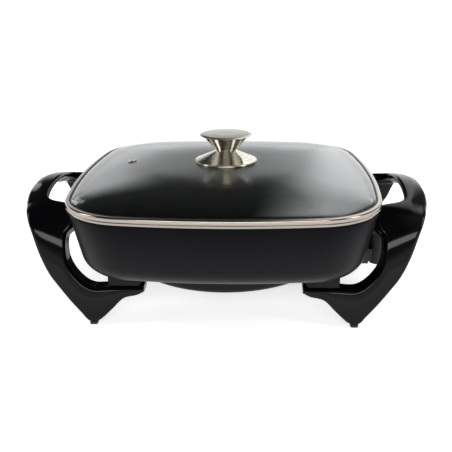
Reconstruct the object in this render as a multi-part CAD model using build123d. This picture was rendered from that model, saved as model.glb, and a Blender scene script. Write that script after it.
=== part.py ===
from build123d import *
import os
from math import atan2, cos, degrees, radians, sin, sqrt

# Electric skillet: a cast square vessel on two arched handles whose legs are its feet, a glass lid
# in a steel rim, and a plug-in temperature control under the right grip.
# Millimetres, +Z up, origin on the table under the middle of the vessel, +X towards the control.

# Driving dimensions of the vessel, taken at the lid's rim
rim_half = 160.0            # half width of the square lid rim
side_bow_radius = 700.0     # radius of its slightly bowed sides
corner_radius = 70.0        # radius of its corners
rim_top_z = 134.0           # height of the lid rim above the table

# Vessel casting
flange_inset = 1.5          # the vessel's flange stands this far inside the lid rim
flange_width = 1.0          # from the flange's edge to the wall under it
flange_thickness = 3.5
flange_edge_round = 0.6
lid_play = 0.7              # room between the lid rim and the upstand inside it
upstand_height = 1.8
wall_height = 62.9          # from the flange down to the bottom
wall_draft = 13.5           # the wall leans in this much over its height
wall_thickness = 4.0
floor_thickness = 5.0
bottom_round = 24.0

# Lid rim and glass
rim_height = 7.6
rim_width = 4.5
rim_round = 1.6
glass_thickness = 4.0
glass_edge_inset = 1.8      # steel left outside the edge of the glass
glass_lip = 0.8             # steel left above the edge of the glass
dome_gap = 1.0              # from the rim's inside to the foot of the dome
dome_rise = 15.0
dome_section_shares = (1.0, 0.995, 0.98, 0.955, 0.92, 0.87, 0.81, 0.74, 0.62, 0.45, 0.25)
dome_power = 3.0
dome_root = 0.65

# Lid knob, vent and their fixings
knob_base_radius = 33.5
knob_base_edge = 2.0
knob_base_wall = 1.6
knob_base_height = 11.0
knob_neck_radius = 8.7
knob_cone_radius = 21.0
knob_cone_height = 15.4
knob_disc_radius = 28.2
knob_disc_height = 3.0
knob_disc_edge = 1.2
knob_crown = 0.6
knob_flat_share = 0.85
knob_washer_radius = 12.0
knob_washer_thickness = 1.0
knob_screw_radius = 2.5
knob_screw_depth = 13.0
knob_screw_head_radius = 5.0
knob_screw_head_height = 3.4
knob_hole_clearance = 1.5
vent_inset = 49.5           # from the foot of the dome to the vent
vent_y = 8.0
vent_bore_radius = 2.0
vent_wall = 0.6
vent_flange_radius = 5.0
vent_flange_thickness = 0.7
vent_gap = 0.6              # room between its flanges and the curved glass
vent_slope_share = 0.01

# Cast-in heater and terminals
heater_depth = 10.5         # from the vessel's bottom down to the heater's centreline
heater_lead_length = 30.0
heater_boss_width = 26.0
heater_boss_depth = 20.5
heater_boss_round = 6.0
heater_tube_radius = 3.5
heater_leg_y = 14.0
heater_bend_radius = 12.0
casting_clearance = 0.15
terminal_face_inset = 16.0  # the terminal face stands this far inside the foot of the wall
terminal_boss_half_height = 10.5
terminal_boss_half_width = 30.0
terminal_boss_rise = 12.0
pin_radius = 2.5
pin_length = 20.0
pin_seat_depth = 4.0
insulator_radius = 5.5
insulator_proud = 2.5       # how far a bush stands out of the shroud's back
probe_radius = 3.0
probe_depth = 40.0          # how far the probe reaches into the casting
probe_end_wall = 4.0
probe_bore_clearance = 0.2
probe_collar_radius = 4.2
probe_collar_length = 3.0

# Inlet shroud on the terminal face
shroud_half_width = 32.0
shroud_half_height = 10.0
shroud_wall = 2.5
shroud_corner_round = 4.0
shroud_length = 28.0
shroud_screw_inset = 6.5

# Handles: each is one arch with two splayed legs that end in feet
handle_overhang = 46.5      # from the lid rim to the grip's outer top corner before it is rounded
leg_bulge = 8.0             # how far the leg's outer edge bows out of its chord
leg_inner_offset = 0.5      # the leg's inner edge stands this far outside the lid rim
leg_inner_bend = 30.0
leg_front_y = 104.0         # outer face of a leg at the table
leg_splay_share = 0.19      # how far a leg leans inwards for each unit of height
leg_thickness = 20.0
leg_knee_drop = 7.0         # the leg bends this far under the shoulder
knee_splay_share = 0.58     # how far it leans inwards above that bend
knee_round = 40.0
foot_offset = 15.5          # from the lug to the middle of the foot
foot_flat = 10.0
foot_pad_height = 3.0
bracket_overlap = 2.5       # the bracket reaches this far past the lug
bracket_end_height = 7.0
bracket_heel_length = 16.5
bracket_heel_height = 11.5
bracket_round = 4.0
bracket_heel_round = 10.0
bracket_screw_wall = 8.0    # plastic left between a screw's head and the lug
shoulder_inset = 0.5
shoulder_drop = 3.9         # the shoulder lies this far under the flange
shoulder_height = 21.0
shoulder_heel = 5.0
shoulder_rise = 2.0         # the shoulder climbs this much towards the grip
grip_drop = 6.0             # the grip's crown lies this far under the top of the lid rim
grip_width = 20.0
grip_thickness = 12.0
grip_corner_round = 8.0
grip_inner_round = 5.0
arch_rise = 14.0            # height of the grip's crown over the arch's corners
arch_corner_round = 20.0
arch_inner_round = 14.0
finger_gap_half_length = 52.0
finger_gap_round = 14.0

# How the handles are fixed to the vessel
lug_wall_inset = 26.0       # the lug stands this far inside the foot of the wall
lug_length = 34.0
lug_height = 20.0
lug_inset = 1.5             # the lug stands this far inside the leg's two faces
lug_screw_shares = (0.24, 0.76)
tenon_length = 8.0
tenon_width = 8.0
tenon_height = 9.0
side_lug_depth = 10.0
screw_radius = 2.0
screw_head_radius = 4.0
screw_head_height = 2.6
screw_grip_depth = 12.0
screw_clearance = 0.15
foot_pad_inset = 1.0
foot_pad_round = 2.0
foot_peg_radius = 2.5
foot_peg_length = 7.0

# Plug-in temperature control
control_gap = 2.0           # from the shroud's mouth to the control's body
control_length = 44.0
control_half_width = 32.0
control_drop = 9.5          # from the pins' centreline down to the control's underside
control_height = 34.0
control_wall = 2.4
control_corner_round = 9.0
control_post_inset = 8.5
control_post_radius = 5.0
control_screw_length = 20.0
nose_clearance = 0.6
pin_entry_clearance = 0.4
contact_outer_radius = 4.4
contact_clearance = 0.1
contact_length = 18.0
switch_end_gap = 5.2        # room between the switch and the outer wall, where the gland reaches in
switch_half_width = 16.0
switch_height = 8.0
blade_length = 18.0
blade_half_width = 4.0
blade_thickness = 1.2
dial_inset = 19.0           # from the control's outer end to the dial's axis
dial_radius = 20.0
dial_height = 12.0
dial_gap = 0.4
dial_skirt_height = 3.0
dial_grip_radius = 15.0
dial_groove_count = 18
dial_groove_radius = 1.5
dial_roof = 3.0
spindle_radius = 3.0
spindle_clearance = 0.15
pilot_inset = 8.0           # from the control's inner end to the pilot lamp
pilot_side_inset = 12.0
pilot_radius = 3.5
pilot_flange = 1.0
pilot_dome = 1.2
pilot_lamp_radius = 2.5
pilot_lamp_length = 8.0
gland_radius = 4.0
gland_bore_radius = 3.0
gland_flange = 1.2
gland_gap = 0.4             # from the gland's flange to the floor of the lower shell

# Room between pieces
fit_clearance = 0.15        # room round pieces of one body that sit in each other
overrun = 1.0               # every cut reaches this far past what it cuts

# Half widths of the vessel and the lid, worked out from the rim
flange_half = rim_half - flange_inset
wall_top_half = flange_half - flange_width
wall_bottom_half = wall_top_half - wall_draft
rim_inner_half = rim_half - rim_width
upstand_half = rim_inner_half - lid_play
glass_edge_half = rim_half - glass_edge_inset
dome_half = rim_inner_half - dome_gap

# Heights of the vessel and the lid
lid_seat_z = rim_top_z - rim_height
flange_bottom_z = lid_seat_z - flange_thickness
pan_bottom_z = flange_bottom_z - wall_height
glass_top_z = rim_top_z - glass_lip - fit_clearance
glass_bottom_z = glass_top_z - glass_thickness
dome_top_z = glass_top_z + dome_rise * (1.0 - dome_section_shares[-1] ** dome_power) ** dome_root
dome_inner_top_z = dome_top_z - glass_thickness
knob_base_z = dome_top_z + knob_washer_thickness
knob_neck_z = knob_base_z + knob_base_height
knob_disc_z = knob_neck_z + knob_cone_height
knob_top_z = knob_disc_z + knob_disc_height
knob_screw_tip_z = knob_neck_z + knob_screw_depth
vent_x = vent_inset - dome_half

# Places of the heater, the terminals and the shroud
heater_z = pan_bottom_z - heater_depth
heater_boss_z = pan_bottom_z - heater_boss_depth
terminal_face_x = wall_bottom_half - terminal_face_inset
heater_ring_radius = terminal_face_x - heater_lead_length
probe_tip_x = terminal_face_x - probe_depth
terminal_boss_inner_x = probe_tip_x - probe_end_wall
terminal_boss_bottom_z = heater_z - terminal_boss_half_height
terminal_boss_top_z = pan_bottom_z + terminal_boss_rise
pin_root_x = terminal_face_x - pin_seat_depth
pin_tip_x = terminal_face_x + pin_length
insulator_end_x = terminal_face_x + shroud_wall + insulator_proud
shroud_mouth_x = terminal_face_x + shroud_length
shroud_bottom_z = heater_z - shroud_half_height
shroud_top_z = heater_z + shroud_half_height
shroud_screw_y = shroud_half_width - shroud_screw_inset

# Places of the handles, their lugs and feet
handle_reach_x = rim_half + handle_overhang
leg_inner_x = rim_half + leg_inner_offset
grip_top_z = rim_top_z - grip_drop
shoulder_inner_x = wall_top_half - shoulder_inset
shoulder_top_z = flange_bottom_z - shoulder_drop
shoulder_bottom_z = shoulder_top_z - shoulder_height
leg_inner_top_z = shoulder_bottom_z - shoulder_heel
leg_knee_z = shoulder_bottom_z - leg_knee_drop
bracket_top_z = pan_bottom_z - lug_height
lug_outer_x = wall_bottom_half - lug_wall_inset
lug_inner_x = lug_outer_x - lug_length
bracket_end_x = lug_inner_x - bracket_overlap
bracket_end_bottom_z = bracket_top_z - bracket_end_height
bracket_heel_x = lug_inner_x + bracket_heel_length
bracket_heel_z = bracket_top_z - bracket_heel_height
lug_screw_seat_z = bracket_top_z - bracket_screw_wall
foot_x = lug_outer_x + foot_offset
foot_y = leg_front_y - leg_thickness / 2

# Places of the control and what is in it
control_inner_x = shroud_mouth_x + control_gap
control_outer_x = control_inner_x + control_length
control_bottom_z = heater_z - control_drop
control_top_z = control_bottom_z + control_height
nose_tip_x = terminal_face_x + shroud_wall + screw_head_height + nose_clearance
control_screw_seat_z = control_bottom_z + screw_head_height
control_screw_tip_z = control_screw_seat_z + control_screw_length
switch_inner_x = control_inner_x + control_wall
switch_outer_x = control_outer_x - control_wall - switch_end_gap
switch_floor_z = control_bottom_z + control_wall
switch_top_z = switch_floor_z + switch_height
dial_x = control_outer_x - dial_inset
dial_bottom_z = control_top_z + dial_gap
spindle_top_z = dial_bottom_z + dial_height - dial_roof
pilot_x = control_inner_x + pilot_inset
pilot_y = control_half_width - pilot_side_inset
gland_z = switch_floor_z + gland_radius + gland_flange + gland_gap


def leg_face_y(z, depth):
    """Y of a plane inside the leaning leg: depth 0 is its outer face, leg_thickness its inner face."""
    above_knee = max(z - leg_knee_z, 0)
    return leg_front_y - depth - leg_splay_share * (z - above_knee) - knee_splay_share * above_knee


lug_y = leg_face_y(bracket_top_z, leg_thickness / 2)
side_lug_z = (shoulder_top_z + shoulder_bottom_z) / 2
side_lug_y = leg_face_y(side_lug_z, leg_thickness / 2)


def bowed_square(half, corner, bow):
    """Face of a square with bowed sides: four long side arcs joined by four tangent corner arcs."""
    side_centre = half - bow
    reach = bow - corner
    corner_centre = (side_centre + sqrt(2 * reach**2 - side_centre**2)) / 2
    along = (corner_centre - side_centre) / reach
    across = corner_centre / reach
    near = side_centre + bow * along
    far = bow * across
    tip = corner_centre + corner / sqrt(2)
    edges = []
    for turn in range(4):
        spin = Rotation(0, 0, 90 * turn)
        edges.append(spin * ThreePointArc((near, -far), (half, 0), (near, far)))
        edges.append(spin * ThreePointArc((near, far), (tip, tip), (far, near)))
    return make_face(edges)


def offset_outline(half, z):
    """The rim's outline moved inwards to another half width, at a height."""
    inset = rim_half - half
    return Pos(0, 0, z) * bowed_square(half, corner_radius - inset, side_bow_radius - inset)


def scaled_outline(half, z):
    """The rim's outline shrunk in proportion to another half width, at a height."""
    share = half / rim_half
    return Pos(0, 0, z) * bowed_square(half, corner_radius * share, side_bow_radius * share)


def slab(half, bottom_z, top_z):
    """A plate with the rim's outline, moved in to a half width, between two heights."""
    return extrude(offset_outline(half, bottom_z), top_z - bottom_z)


def block(x_low, x_high, y_low, y_high, z_low, z_high):
    """A plain box between two corners."""
    corner = Align.MIN
    box = Box(x_high - x_low, y_high - y_low, z_high - z_low, align=(corner, corner, corner))
    return Pos(x_low, y_low, z_low) * box


def rod_x(x_low, x_high, y, z, radius):
    """A round bar along X."""
    bar = Cylinder(radius, x_high - x_low, align=(Align.CENTER, Align.CENTER, Align.MIN))
    return Pos(x_low, y, z) * Rotation(0, 90, 0) * bar


def rod_z(x, y, z_low, z_high, radius):
    """A round bar along Z."""
    bar = Cylinder(radius, z_high - z_low, align=(Align.CENTER, Align.CENTER, Align.MIN))
    return Pos(x, y, z_low) * bar


def turned(points):
    """A solid turned about Z from a closed half profile of (radius, height) points."""
    face = make_face(Polyline(*[(r, 0, z) for r, z in points], close=True))
    return revolve(face, Axis.Z)


def four_ways(shape):
    """Copies of a shape from the quarter x > 0, y > 0 into all four quarters."""
    pair = [shape, mirror(shape, about=Plane.XZ)]
    return pair + [mirror(one, about=Plane.YZ) for one in pair]


def fused(shapes):
    """One solid out of several that touch or overlap."""
    shapes = list(shapes)
    whole = shapes[0]
    for shape in shapes[1:]:
        whole = whole + shape
    return whole


def group(solids):
    """Separate solids kept together as one piece."""
    return Compound(children=list(solids))


def heater_path(end_x):
    """Centreline of the heater: a lead in, a bend, the ring, a bend and a lead out."""
    centre_y = heater_leg_y + heater_bend_radius
    centre_x = sqrt((heater_ring_radius + heater_bend_radius) ** 2 - centre_y**2)
    share = heater_ring_radius / (heater_ring_radius + heater_bend_radius)
    touch = Vector(centre_x * share, centre_y * share)
    towards = (touch - Vector(centre_x, centre_y)).normalized()
    halfway = (towards + Vector(0, -1)).normalized() * heater_bend_radius
    middle = Vector(centre_x, centre_y) + halfway
    lead_in = Line((end_x, heater_leg_y), (centre_x, heater_leg_y))
    bend_in = ThreePointArc((centre_x, heater_leg_y), middle, touch)
    ring = ThreePointArc(touch, (-heater_ring_radius, 0), (touch.X, -touch.Y))
    bend_out = ThreePointArc((touch.X, -touch.Y), (middle.X, -middle.Y), (centre_x, -heater_leg_y))
    lead_out = Line((centre_x, -heater_leg_y), (end_x, -heater_leg_y))
    return Pos(0, 0, heater_z) * Wire([lead_in, bend_in, ring, bend_out, lead_out])


def heater_sweep(end_x, radius):
    """A round section carried along the heater's centreline."""
    start = Plane((end_x, heater_leg_y, heater_z), x_dir=(0, 1, 0), z_dir=(-1, 0, 0))
    return sweep(start * Circle(radius), path=heater_path(end_x))


def screw_z(x, y, seat_z, tip_z):
    """A pan-head screw driven upwards, its head under the seat."""
    shank = rod_z(x, y, seat_z, tip_z, screw_radius)
    return shank + rod_z(x, y, seat_z - screw_head_height, seat_z, screw_head_radius)


def lug_screw_places():
    """(x, y) of the two screws in the lug of the quarter x > 0, y > 0."""
    length = lug_outer_x - lug_inner_x
    return [(lug_inner_x + share * length, lug_y) for share in lug_screw_shares]


def tenon_block(start_x, room):
    """The tenon on the vessel's side, or with some room round it the pocket that takes it."""
    half_width = tenon_width / 2 + room
    half_height = tenon_height / 2 + room
    return block(start_x, shoulder_inner_x + tenon_length + room, side_lug_y - half_width,
                 side_lug_y + half_width, side_lug_z - half_height, side_lug_z + half_height)


def pan():
    """Vessel casting with its rim, heater ring, terminal boss and handle lugs."""
    wall = loft([offset_outline(wall_bottom_half, pan_bottom_z),
                 offset_outline(wall_top_half, flange_bottom_z)])
    body = fillet(wall.faces().sort_by(Axis.Z)[0].edges(), bottom_round)
    flange = slab(flange_half, flange_bottom_z, lid_seat_z)
    flange = fillet(flange.faces().sort_by(Axis.Z)[0].edges(), flange_edge_round)
    upstand = slab(upstand_half, lid_seat_z, lid_seat_z + upstand_height)
    ring_outer = heater_ring_radius + heater_boss_width / 2
    ring_inner = heater_ring_radius - heater_boss_width / 2
    inside_z = pan_bottom_z + floor_thickness / 2
    ring = ring_z(heater_boss_z, inside_z, ring_outer, ring_inner)
    ring = fillet(ring.faces().sort_by(Axis.Z)[0].edges(), heater_boss_round)
    terminal_boss = block(terminal_boss_inner_x, terminal_face_x, -terminal_boss_half_width,
                          terminal_boss_half_width, terminal_boss_bottom_z, terminal_boss_top_z)
    lug_half = leg_thickness / 2 - lug_inset
    lug = block(lug_inner_x, lug_outer_x, lug_y - lug_half, lug_y + lug_half,
                bracket_top_z, pan_bottom_z + bottom_round)
    lug_holes = [rod_z(x, y, bracket_top_z - overrun, bracket_top_z + screw_grip_depth + overrun,
                       screw_radius + screw_clearance) for x, y in lug_screw_places()]
    lug = lug - fused(lug_holes)
    side_lug = block(shoulder_inner_x - side_lug_depth, shoulder_inner_x, side_lug_y - lug_half,
                     side_lug_y + lug_half, shoulder_bottom_z, shoulder_top_z - shoulder_rise)
    tenon = tenon_block(shoulder_inner_x, 0)
    whole = fused([body, flange, upstand, ring, terminal_boss, *four_ways(lug), *four_ways(side_lug),
                   *four_ways(tenon)])
    cavity = loft([offset_outline(wall_bottom_half - wall_thickness, pan_bottom_z + floor_thickness),
                   offset_outline(wall_top_half - wall_thickness, lid_seat_z + upstand_height + overrun)])
    cavity = fillet(cavity.faces().sort_by(Axis.Z)[0].edges(), bottom_round - wall_thickness)
    tunnel = heater_sweep(terminal_face_x + overrun, heater_tube_radius + casting_clearance)
    bore = rod_x(probe_tip_x - overrun, terminal_face_x + overrun, 0, heater_z,
                 probe_radius + probe_bore_clearance)
    screw_bores = [rod_x(terminal_face_x - screw_grip_depth, terminal_face_x + overrun, y, heater_z,
                         screw_radius + screw_clearance) for y in (shroud_screw_y, -shroud_screw_y)]
    return whole - cavity - tunnel - bore - fused(screw_bores)


def dome_z(share):
    """Height of the glass's outer face where its outline has shrunk to a share of the dome's foot."""
    return glass_top_z + dome_rise * (1.0 - share**dome_power) ** dome_root


def dome(half, drop):
    """A solid dome on a foot of some half width, its face lowered by a drop."""
    sections = [scaled_outline(half * share, dome_z(share) - drop) for share in dome_section_shares]
    return loft(sections, ruled=True)


def vent_frame():
    """Place on the glass where the vent sits, its Z square to the glass."""
    share = abs(vent_x) / dome_half
    climb = dome_z(share - vent_slope_share) - dome_z(share + vent_slope_share)
    lean = degrees(atan2(climb, 2 * vent_slope_share * dome_half))
    return Pos(vent_x, vent_y, dome_z(share)) * Rotation(0, -lean, 0)


def lid_glass():
    """Tempered glass: a flat edge that the rim holds and a flat-topped dome."""
    plate = slab(glass_edge_half, glass_bottom_z, glass_top_z)
    glass = plate + dome(dome_half, 0) - dome(dome_half - glass_thickness, glass_thickness)
    screw_hole = rod_z(0, 0, glass_bottom_z, dome_top_z + overrun, knob_screw_radius + knob_hole_clearance)
    vent_hole = rod_z(0, 0, -glass_thickness - overrun, overrun,
                      vent_bore_radius + vent_wall + fit_clearance)
    return glass - screw_hole - vent_frame() * vent_hole


def lid_rim():
    """Steel rim with a slot round its inside for the edge of the glass."""
    ring = slab(rim_half, lid_seat_z, rim_top_z)
    flats = ring.faces().sort_by(Axis.Z)
    ring = fillet(flats[0].edges() + flats[-1].edges(), rim_round)
    ring = ring - slab(rim_inner_half, lid_seat_z - overrun, rim_top_z + overrun)
    return ring - slab(glass_edge_half + fit_clearance, glass_bottom_z - fit_clearance,
                       glass_top_z + fit_clearance)


def vent_eyelet():
    """Steam vent: a short tube with a flange above and below the glass."""
    sleeve = vent_bore_radius + vent_wall
    top = vent_gap
    under = -glass_thickness - vent_gap
    crown = top + vent_flange_thickness
    bottom = under - vent_flange_thickness
    points = [(vent_bore_radius, crown), (vent_flange_radius, crown), (vent_flange_radius, top),
              (sleeve, top), (sleeve, under), (vent_flange_radius, under), (vent_flange_radius, bottom),
              (vent_bore_radius, bottom)]
    return vent_frame() * turned(points)


def knob_base():
    """Conical steel plate under the knob, hollow outside its middle boss."""
    bore = knob_screw_radius + fit_clearance
    edge_z = knob_base_z + knob_base_edge
    fall = (knob_neck_z - edge_z) / (knob_base_radius - knob_neck_radius)
    inner_radius = knob_base_radius - knob_base_wall
    hollow_z = edge_z - knob_base_wall
    roof_z = hollow_z + fall * (inner_radius - knob_washer_radius)
    return turned([(bore, knob_base_z), (knob_washer_radius, knob_base_z), (knob_washer_radius, roof_z),
                   (inner_radius, hollow_z), (inner_radius, knob_base_z), (knob_base_radius, knob_base_z),
                   (knob_base_radius, edge_z), (knob_neck_radius, knob_neck_z), (bore, knob_neck_z)])


def knob_top():
    """Turned steel knob: a cone that opens upwards into a thin disc, drilled for its screw."""
    edge_z = knob_top_z - knob_crown
    bore = knob_screw_radius + fit_clearance
    bore_top_z = knob_screw_tip_z + fit_clearance
    flat_radius = knob_disc_radius * knob_flat_share
    return turned([(0, bore_top_z), (bore, bore_top_z), (bore, knob_neck_z), (knob_neck_radius, knob_neck_z),
                   (knob_cone_radius, knob_disc_z), (knob_disc_radius, edge_z - knob_disc_edge),
                   (knob_disc_radius, edge_z), (flat_radius, knob_top_z), (0, knob_top_z)])


def ring_z(z_low, z_high, radius, bore):
    """A flat washer or a plain bush along Z."""
    return rod_z(0, 0, z_low, z_high, radius) - rod_z(0, 0, z_low - overrun, z_high + overrun, bore)


def knob_screw():
    """Screw that clamps knob, base and glass from below."""
    seat_z = dome_inner_top_z - knob_washer_thickness
    head = rod_z(0, 0, seat_z - knob_screw_head_height, seat_z, knob_screw_head_radius)
    return head + rod_z(0, 0, seat_z, knob_screw_tip_z, knob_screw_radius)


def heating_element():
    """Tubular element in the cast ring, short of the terminal face where the pins take over."""
    return heater_sweep(pin_root_x, heater_tube_radius)


def terminal_pin(y):
    """Contact pin on the end of the element."""
    return rod_x(pin_root_x, pin_tip_x, y, heater_z, pin_radius)


def terminal_insulator(y):
    """Ceramic bush round a pin, through the back of the shroud."""
    bush = rod_x(terminal_face_x, insulator_end_x, y, heater_z, insulator_radius)
    return bush - rod_x(terminal_face_x - overrun, insulator_end_x + overrun, y, heater_z,
                        pin_radius + fit_clearance)


def inlet_shroud():
    """Open-ended guard round the pins, screwed to the terminal face."""
    outside = block(terminal_face_x, shroud_mouth_x, -shroud_half_width, shroud_half_width,
                    shroud_bottom_z, shroud_top_z)
    outside = fillet(outside.edges().filter_by(Axis.X), shroud_corner_round)
    inner_half_width = shroud_half_width - shroud_wall
    inside = block(terminal_face_x + shroud_wall, shroud_mouth_x + overrun, -inner_half_width,
                   inner_half_width, shroud_bottom_z + shroud_wall, shroud_top_z - shroud_wall)
    back = terminal_face_x - overrun
    front = terminal_face_x + shroud_wall + overrun
    holes = [rod_x(back, front, 0, heater_z, probe_radius + probe_bore_clearance)]
    for side in (-1, 1):
        holes.append(rod_x(back, front, side * heater_leg_y, heater_z, insulator_radius + fit_clearance))
        holes.append(rod_x(back, front, side * shroud_screw_y, heater_z, screw_radius + screw_clearance))
    return outside - inside - fused(holes)


def inlet_screws():
    """Two screws that hold the shroud to the casting."""
    seat_x = terminal_face_x + shroud_wall
    screws = []
    for y in (-shroud_screw_y, shroud_screw_y):
        shank = rod_x(terminal_face_x - screw_grip_depth, seat_x, y, heater_z, screw_radius)
        screws.append(shank + rod_x(seat_x, seat_x + screw_head_height, y, heater_z, screw_head_radius))
    return group(screws)


def softened(face, point, radius):
    """A flat face with the corner nearest to a point rounded."""
    spot = Vector(*point)
    corner = min(face.vertices(), key=lambda vertex: (Vector(*vertex) - spot).length)
    return fillet(corner, radius)


def handle_side_outline():
    """Handle seen from the front: bracket, boomerang leg, shoulder and the end of the grip."""
    foot_in = (foot_x - foot_flat / 2, foot_pad_height)
    foot_out = (foot_x + foot_flat / 2, foot_pad_height)
    crown = (handle_reach_x, grip_top_z)
    chord = Vector(*crown) - Vector(*foot_out)
    outwards = Vector(chord.Y, -chord.X).normalized() * leg_bulge
    bulge = Vector(*foot_out) + chord / 2 + outwards
    bend_top = (leg_inner_x, bracket_top_z + leg_inner_bend)
    bend_end = (leg_inner_x - leg_inner_bend, bracket_top_z)
    bend_mid = (leg_inner_x - leg_inner_bend * (1 - cos(radians(45))),
                bracket_top_z + leg_inner_bend * (1 - sin(radians(45))))
    inner_x = handle_reach_x - grip_width
    shoulder_end_z = shoulder_top_z + shoulder_rise
    edges = [ThreePointArc(foot_out, bulge, crown)]
    edges += Polyline(crown, (inner_x, grip_top_z), (inner_x, shoulder_end_z),
                      (shoulder_inner_x, shoulder_top_z), (shoulder_inner_x, shoulder_bottom_z),
                      (leg_inner_x, leg_inner_top_z), bend_top).edges()
    edges += [ThreePointArc(bend_top, bend_mid, bend_end)]
    edges += Polyline(bend_end, (bracket_end_x, bracket_top_z), (bracket_end_x, bracket_end_bottom_z),
                      (bracket_heel_x, bracket_heel_z), foot_in, foot_out).edges()
    face = make_face(edges)
    face = softened(face, crown, grip_corner_round)
    face = softened(face, (inner_x, grip_top_z), grip_inner_round)
    face = softened(face, (leg_inner_x, leg_inner_top_z), bracket_round)
    face = softened(face, (bracket_end_x, bracket_end_bottom_z), bracket_round)
    return softened(face, (bracket_heel_x, bracket_heel_z), bracket_heel_round)


def handle_arch_outline():
    """Handle seen from the side: two leaning legs under a bowed grip."""
    outer_z = grip_top_z - arch_rise
    inner_z = outer_z - grip_thickness
    crest_z = grip_top_z - grip_thickness
    outer = [(leg_face_y(z, 0), z) for z in (outer_z, leg_knee_z, foot_pad_height)]
    inner = [(leg_face_y(z, leg_thickness), z) for z in (foot_pad_height, leg_knee_z, inner_z)]
    leg = outer + inner
    far_leg = [(-y, z) for y, z in reversed(leg)]
    edges = [ThreePointArc(far_leg[-1], (0, grip_top_z), leg[0])]
    edges += Polyline(*leg).edges()
    edges += [ThreePointArc(leg[-1], (0, crest_z), far_leg[0])]
    edges += Polyline(*far_leg).edges()
    face = make_face(edges)
    for outline in (leg, far_leg):
        for y, z in outline:
            if z == leg_knee_z:
                face = softened(face, (y, z), knee_round)
            elif z == outer_z:
                face = softened(face, (y, z), arch_corner_round)
            elif z == inner_z:
                face = softened(face, (y, z), arch_inner_round)
    return face


def handle_right():
    """One moulding: the front outline and the side outline carried through each other, then opened."""
    seen_from_front = extrude(Plane.XZ * handle_side_outline(), leg_front_y, both=True)
    seen_from_side = extrude(Plane.YZ * handle_arch_outline(), handle_reach_x + overrun)
    handle = seen_from_front & seen_from_side
    inner_x = handle_reach_x - grip_width
    gap = block(shoulder_inner_x - overrun, inner_x, -finger_gap_half_length, finger_gap_half_length,
                shoulder_bottom_z - overrun, grip_top_z + overrun)
    gap = fillet(gap.edges().filter_by(Axis.Z).group_by(Axis.X)[-1], finger_gap_round)
    cuts = handle_fixings()
    return handle - gap - fused(cuts + [mirror(cut, about=Plane.XZ) for cut in cuts])


def handle_fixings():
    """What is cut out of the quarter y > 0 of the right handle: screw seats, tenon pocket, peg hole."""
    cuts = []
    for x, y in lug_screw_places():
        cuts.append(rod_z(x, y, lug_screw_seat_z - overrun, bracket_top_z + overrun,
                          screw_radius + screw_clearance))
        cuts.append(rod_z(x, y, 0, lug_screw_seat_z, screw_head_radius + screw_clearance))
    cuts.append(tenon_block(shoulder_inner_x - overrun, fit_clearance))
    peg_top_z = foot_pad_height + foot_peg_length + fit_clearance
    cuts.append(rod_z(foot_x, foot_y, 0, peg_top_z, foot_peg_radius + fit_clearance))
    return cuts


def handle_screws():
    """The four screws of the right handle."""
    screws = []
    for x, y in lug_screw_places():
        for side in (-1, 1):
            screws.append(screw_z(x, side * y, lug_screw_seat_z, bracket_top_z + screw_grip_depth))
    return group(screws)


def foot_pad():
    """Rubber pad under the end of one leg, with a peg into it, in the quarter x > 0, y > 0."""
    half_length = foot_flat / 2 - foot_pad_inset
    half_width = leg_thickness / 2 - foot_pad_inset
    pad = block(foot_x - half_length, foot_x + half_length, foot_y - half_width, foot_y + half_width,
                0, foot_pad_height)
    pad = fillet(pad.edges().filter_by(Axis.Z), foot_pad_round)
    return pad + rod_z(foot_x, foot_y, foot_pad_height, foot_pad_height + foot_peg_length, foot_peg_radius)


def control_form(inset):
    """Outside of the control, body and plug nose, or that form moved inwards by an inset."""
    body = block(control_inner_x + inset, control_outer_x - inset, inset - control_half_width,
                 control_half_width - inset, control_bottom_z + inset, control_top_z - inset)
    body = fillet(body.edges().filter_by(Axis.Z), control_corner_round - inset)
    gap = shroud_wall + nose_clearance + inset
    root_x = control_inner_x + control_corner_round + inset
    nose = block(nose_tip_x + inset, root_x, gap - shroud_half_width, shroud_half_width - gap,
                 shroud_bottom_z + gap, shroud_top_z - gap)
    return body + nose


def control_post_places():
    """(x, y) of the two screw posts inside the control."""
    x = control_outer_x - control_post_inset
    y = control_half_width - control_post_inset
    return [(x, y), (x, -y)]


def control_shell():
    """The whole housing before it is split: walls, screw posts and every opening."""
    shell = control_form(0) - control_form(control_wall)
    nose_back_x = nose_tip_x + control_wall + overrun
    roof_z = control_top_z - control_wall
    for x, y in control_post_places():
        shell = shell + rod_z(x, y, control_bottom_z, roof_z, control_post_radius)
        shell = shell - rod_z(x, y, control_bottom_z - overrun, control_screw_tip_z + overrun,
                              screw_radius + screw_clearance)
        shell = shell - rod_z(x, y, control_bottom_z - overrun, control_screw_seat_z,
                              screw_head_radius + screw_clearance)
    for side in (-1, 1):
        shell = shell - rod_x(nose_tip_x - overrun, nose_back_x, side * heater_leg_y, heater_z,
                              pin_radius + pin_entry_clearance)
    shell = shell - rod_x(nose_tip_x - overrun, nose_back_x, 0, heater_z, probe_radius + fit_clearance)
    for x, y, radius in ((dial_x, 0, spindle_radius + spindle_clearance),
                         (pilot_x, pilot_y, pilot_radius + fit_clearance)):
        shell = shell - rod_z(x, y, roof_z - overrun, control_top_z + overrun, radius)
    return shell - rod_x(control_outer_x - control_wall - overrun, control_outer_x + overrun, 0, gland_z,
                         gland_radius + fit_clearance)


def control_half(z_low, z_high):
    """The part of the housing between two heights."""
    reach = control_outer_x + overrun
    side = control_half_width + overrun
    return control_shell() & block(0, reach, -side, side, z_low, z_high)


def probe_rod():
    """Temperature probe, with a collar behind the nose's front wall."""
    wall_back_x = nose_tip_x + control_wall
    rod = rod_x(probe_tip_x + fit_clearance, wall_back_x + contact_length, 0, heater_z, probe_radius)
    return rod + rod_x(wall_back_x, wall_back_x + probe_collar_length, 0, heater_z, probe_collar_radius)


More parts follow.
